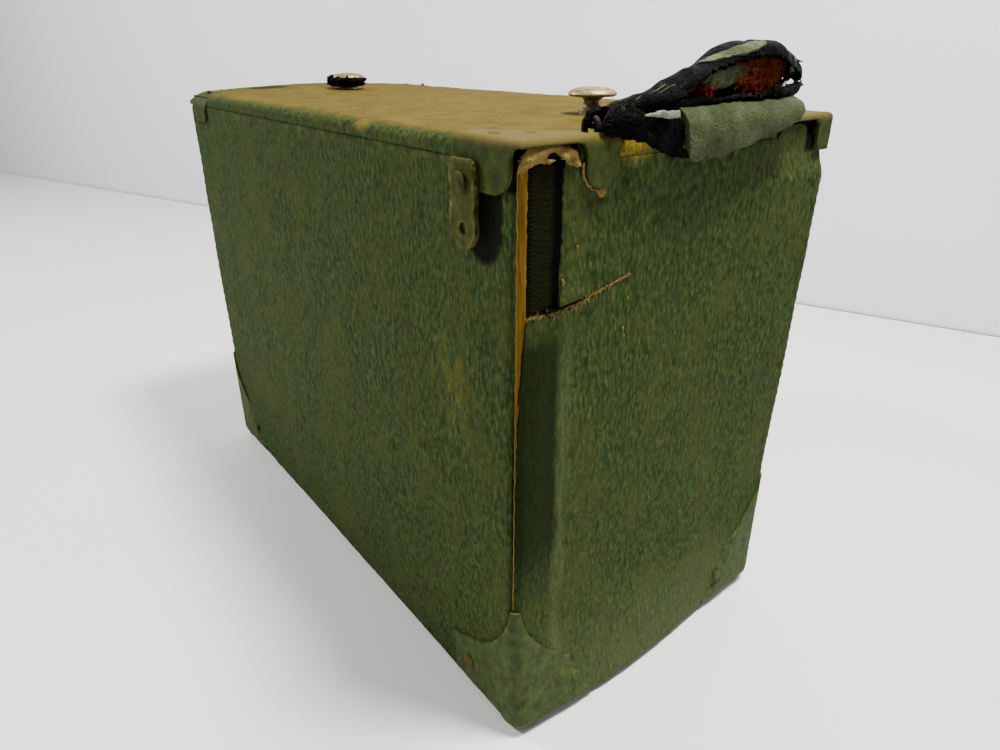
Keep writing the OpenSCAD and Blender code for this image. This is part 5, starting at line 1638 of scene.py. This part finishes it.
def frayed_padding():
    """The handle's filling: a matted core with loose orange and red fibres."""
    rows, columns = 40, 28
    points = []
    for i in range(rows):
        t = i / (rows - 1)
        s = 0.4 + 0.53 * t
        girth = math.sin(math.pi * min(max(t, 0.02), 0.98)) ** 0.45
        turn = full_turn(columns)
        flat = stacked(s * HANDLE_L, 3.0 * np.cos(turn), 3.0 * np.sin(turn))
        lump = 1.0 + 0.16 * waves(flat, 4.0, 141) + 0.06 * waves(flat, 1.2, 142)
        high = np.interp(s, (0.4, 0.55, 0.72, 0.93), (0.4, 0.6, 0.74, 0.5)) * HANDLE_H
        low = 0.14 * HANDLE_H
        right = roll_section(s)[3] - 1.8
        x = right - 3.2 + 3.2 * girth * lump * np.cos(turn)
        z = HANDLE_Z + (low + high) / 2.0 + (high - low) / 2.0 * girth * lump * np.sin(turn)
        points.append(stacked(x, STAPLE_Y + s * HANDLE_L, z))
    faces = grid_faces(rows, columns, closed=True)
    faces.append(tuple(range(columns))[::-1])
    faces.append(tuple((rows - 1) * columns + i for i in range(columns)))
    obj = make_piece("padding_core", np.concatenate(points), faces, "handle", "frayed_padding",
                     ["handle_padding"])
    fibres("padding_orange", (0.56, 0.8), (0.34, 0.74), 330, 151, "orange_fibre")
    fibres("padding_red", (0.34, 0.46), (0.12, 0.42), 110, 152, "red_fibre")
    fibres("padding_rust", (0.6, 0.74), (0.16, 0.44), 150, 154, "red_fibre")


def fibres(name, span, height, count, seed, look):
    """Loose fibres that spring from a span of the roll's length and height, mostly upwards."""
    rng = np.random.default_rng(seed)
    loose = []
    for _ in range(count):
        s, h = rng.uniform(*span), rng.uniform(*height)
        foot = on_roll(rng.uniform(1.0, 2.6), s, h)
        lean = rng.normal(0.75, 0.45)
        way = np.array([rng.uniform(-0.4, 0.6), math.cos(lean), math.sin(lean)])
        way *= rng.uniform(1.8, 4.6)
        bend = np.array([rng.uniform(-0.2, 0.5), -way[2], way[1]]) * rng.uniform(-0.35, 0.35)
        line = [foot - way * 0.5, foot - way * 0.1 + bend * 0.8, foot + way * 0.25 + bend,
                foot + way * 0.5 + bend * 0.4]
        loose.append((line, rng.uniform(0.05, 0.13), 4))
    strand_piece(name, loose, "handle", "frayed_padding", look=look)


def torn_flap():
    """The grey-green flap: tacked to the lid, bent over its end, with a ragged front edge."""
    low, high = mm_box("end_flap")
    foot_z = LID_HIGH[2] - 0.5
    over = high[0] - 0.55
    path = np.array([(low[0], foot_z + 0.6), (low[0] + 4.0, foot_z + 0.6),
                     (over - 12.6, foot_z + 2.1), (over - 8.6, foot_z + 3.1),
                     (over - 4.2, foot_z + 3.3), (over - 1.5, foot_z + 2.4),
                     (over - 0.1, foot_z + 0.4), (over, foot_z - 2.0), (over, foot_z - 9.0)])
    run = np.concatenate([[0.0], np.cumsum(np.linalg.norm(np.diff(path, axis=0), axis=1))])
    hang = run[6]
    front, back = low[1] - 4.0, high[1] - 2.5
    inner = 7.2
    outline = np.concatenate([
        [(front + 3.0, 0.0), (back, 0.0)],
        [(back + 0.3, run[4]), (back - 1.2, hang - 0.6), (back - 2.4, hang + 0.2)],
        ragged([(back - 4.0, hang + 0.9), (back - 12.0, hang + 3.0), (back - 22.0, hang + 5.0),
                (front + 12.0, hang + 6.6), (front + 2.4, hang + inner)], 1.6, 0.14, 161),
        ragged([(front + 1.2, hang + 6.6), (front + 0.3, hang + 4.0), (front - 0.4, hang),
                (front - 0.6, run[4]), (front + 0.6, run[3]), (front + 1.4, run[2])], 0.9, 0.4, 162)])

    def place(flat):
        y, s = flat.T
        x = np.interp(s, run, path[:, 0])
        z = np.interp(s, run, path[:, 1])
        bent = np.clip((s - run[2]) / (hang - run[2]), 0.0, 1.0)
        sag = 0.3 * waves(flat, 13.0, 163) + 0.08 * waves(flat, 3.0, 164)
        lift = sag * (1.0 - bent) * rise(s, 0.0, 6.0)
        return stacked(x + (sag - 0.1) * bent, y, z + lift)

    skin("torn_flap", outline, place, 1.1, "lid", "grey_green_leather", 1.1,
         replaced=["end_flap"], edge_step=0.7, soften=0.2)


soften_nodes()
wrap_side()
wrap_edge()
notch_shadows()
strap_collar()
pale_scraps()
end_cover()
black_tape()
worn_ear()
tear_fibres()
gold_flecks()
stop_nail()
worn_outlines()
lid_skin()
lid_irons()
rivets()
for corner, corner_signs in CORNERS.items():
    bottom_corner("cap_" + corner, corner_signs)
    foot("foot_" + corner, corner_signs)
hasp("hasp_front", -1)
hasp("hasp_back", 1)
pivot_head("hasp_pivot_front", -1)
pivot_head("hasp_pivot_back", 1)
stud("handle_stud_right")
stud("handle_stud_left")
strap_scrap()
rolled_leather()
handle_tongue()
wire_staple()
torn_leather()
shreds()
stiffener()
frayed_padding()
torn_flap()
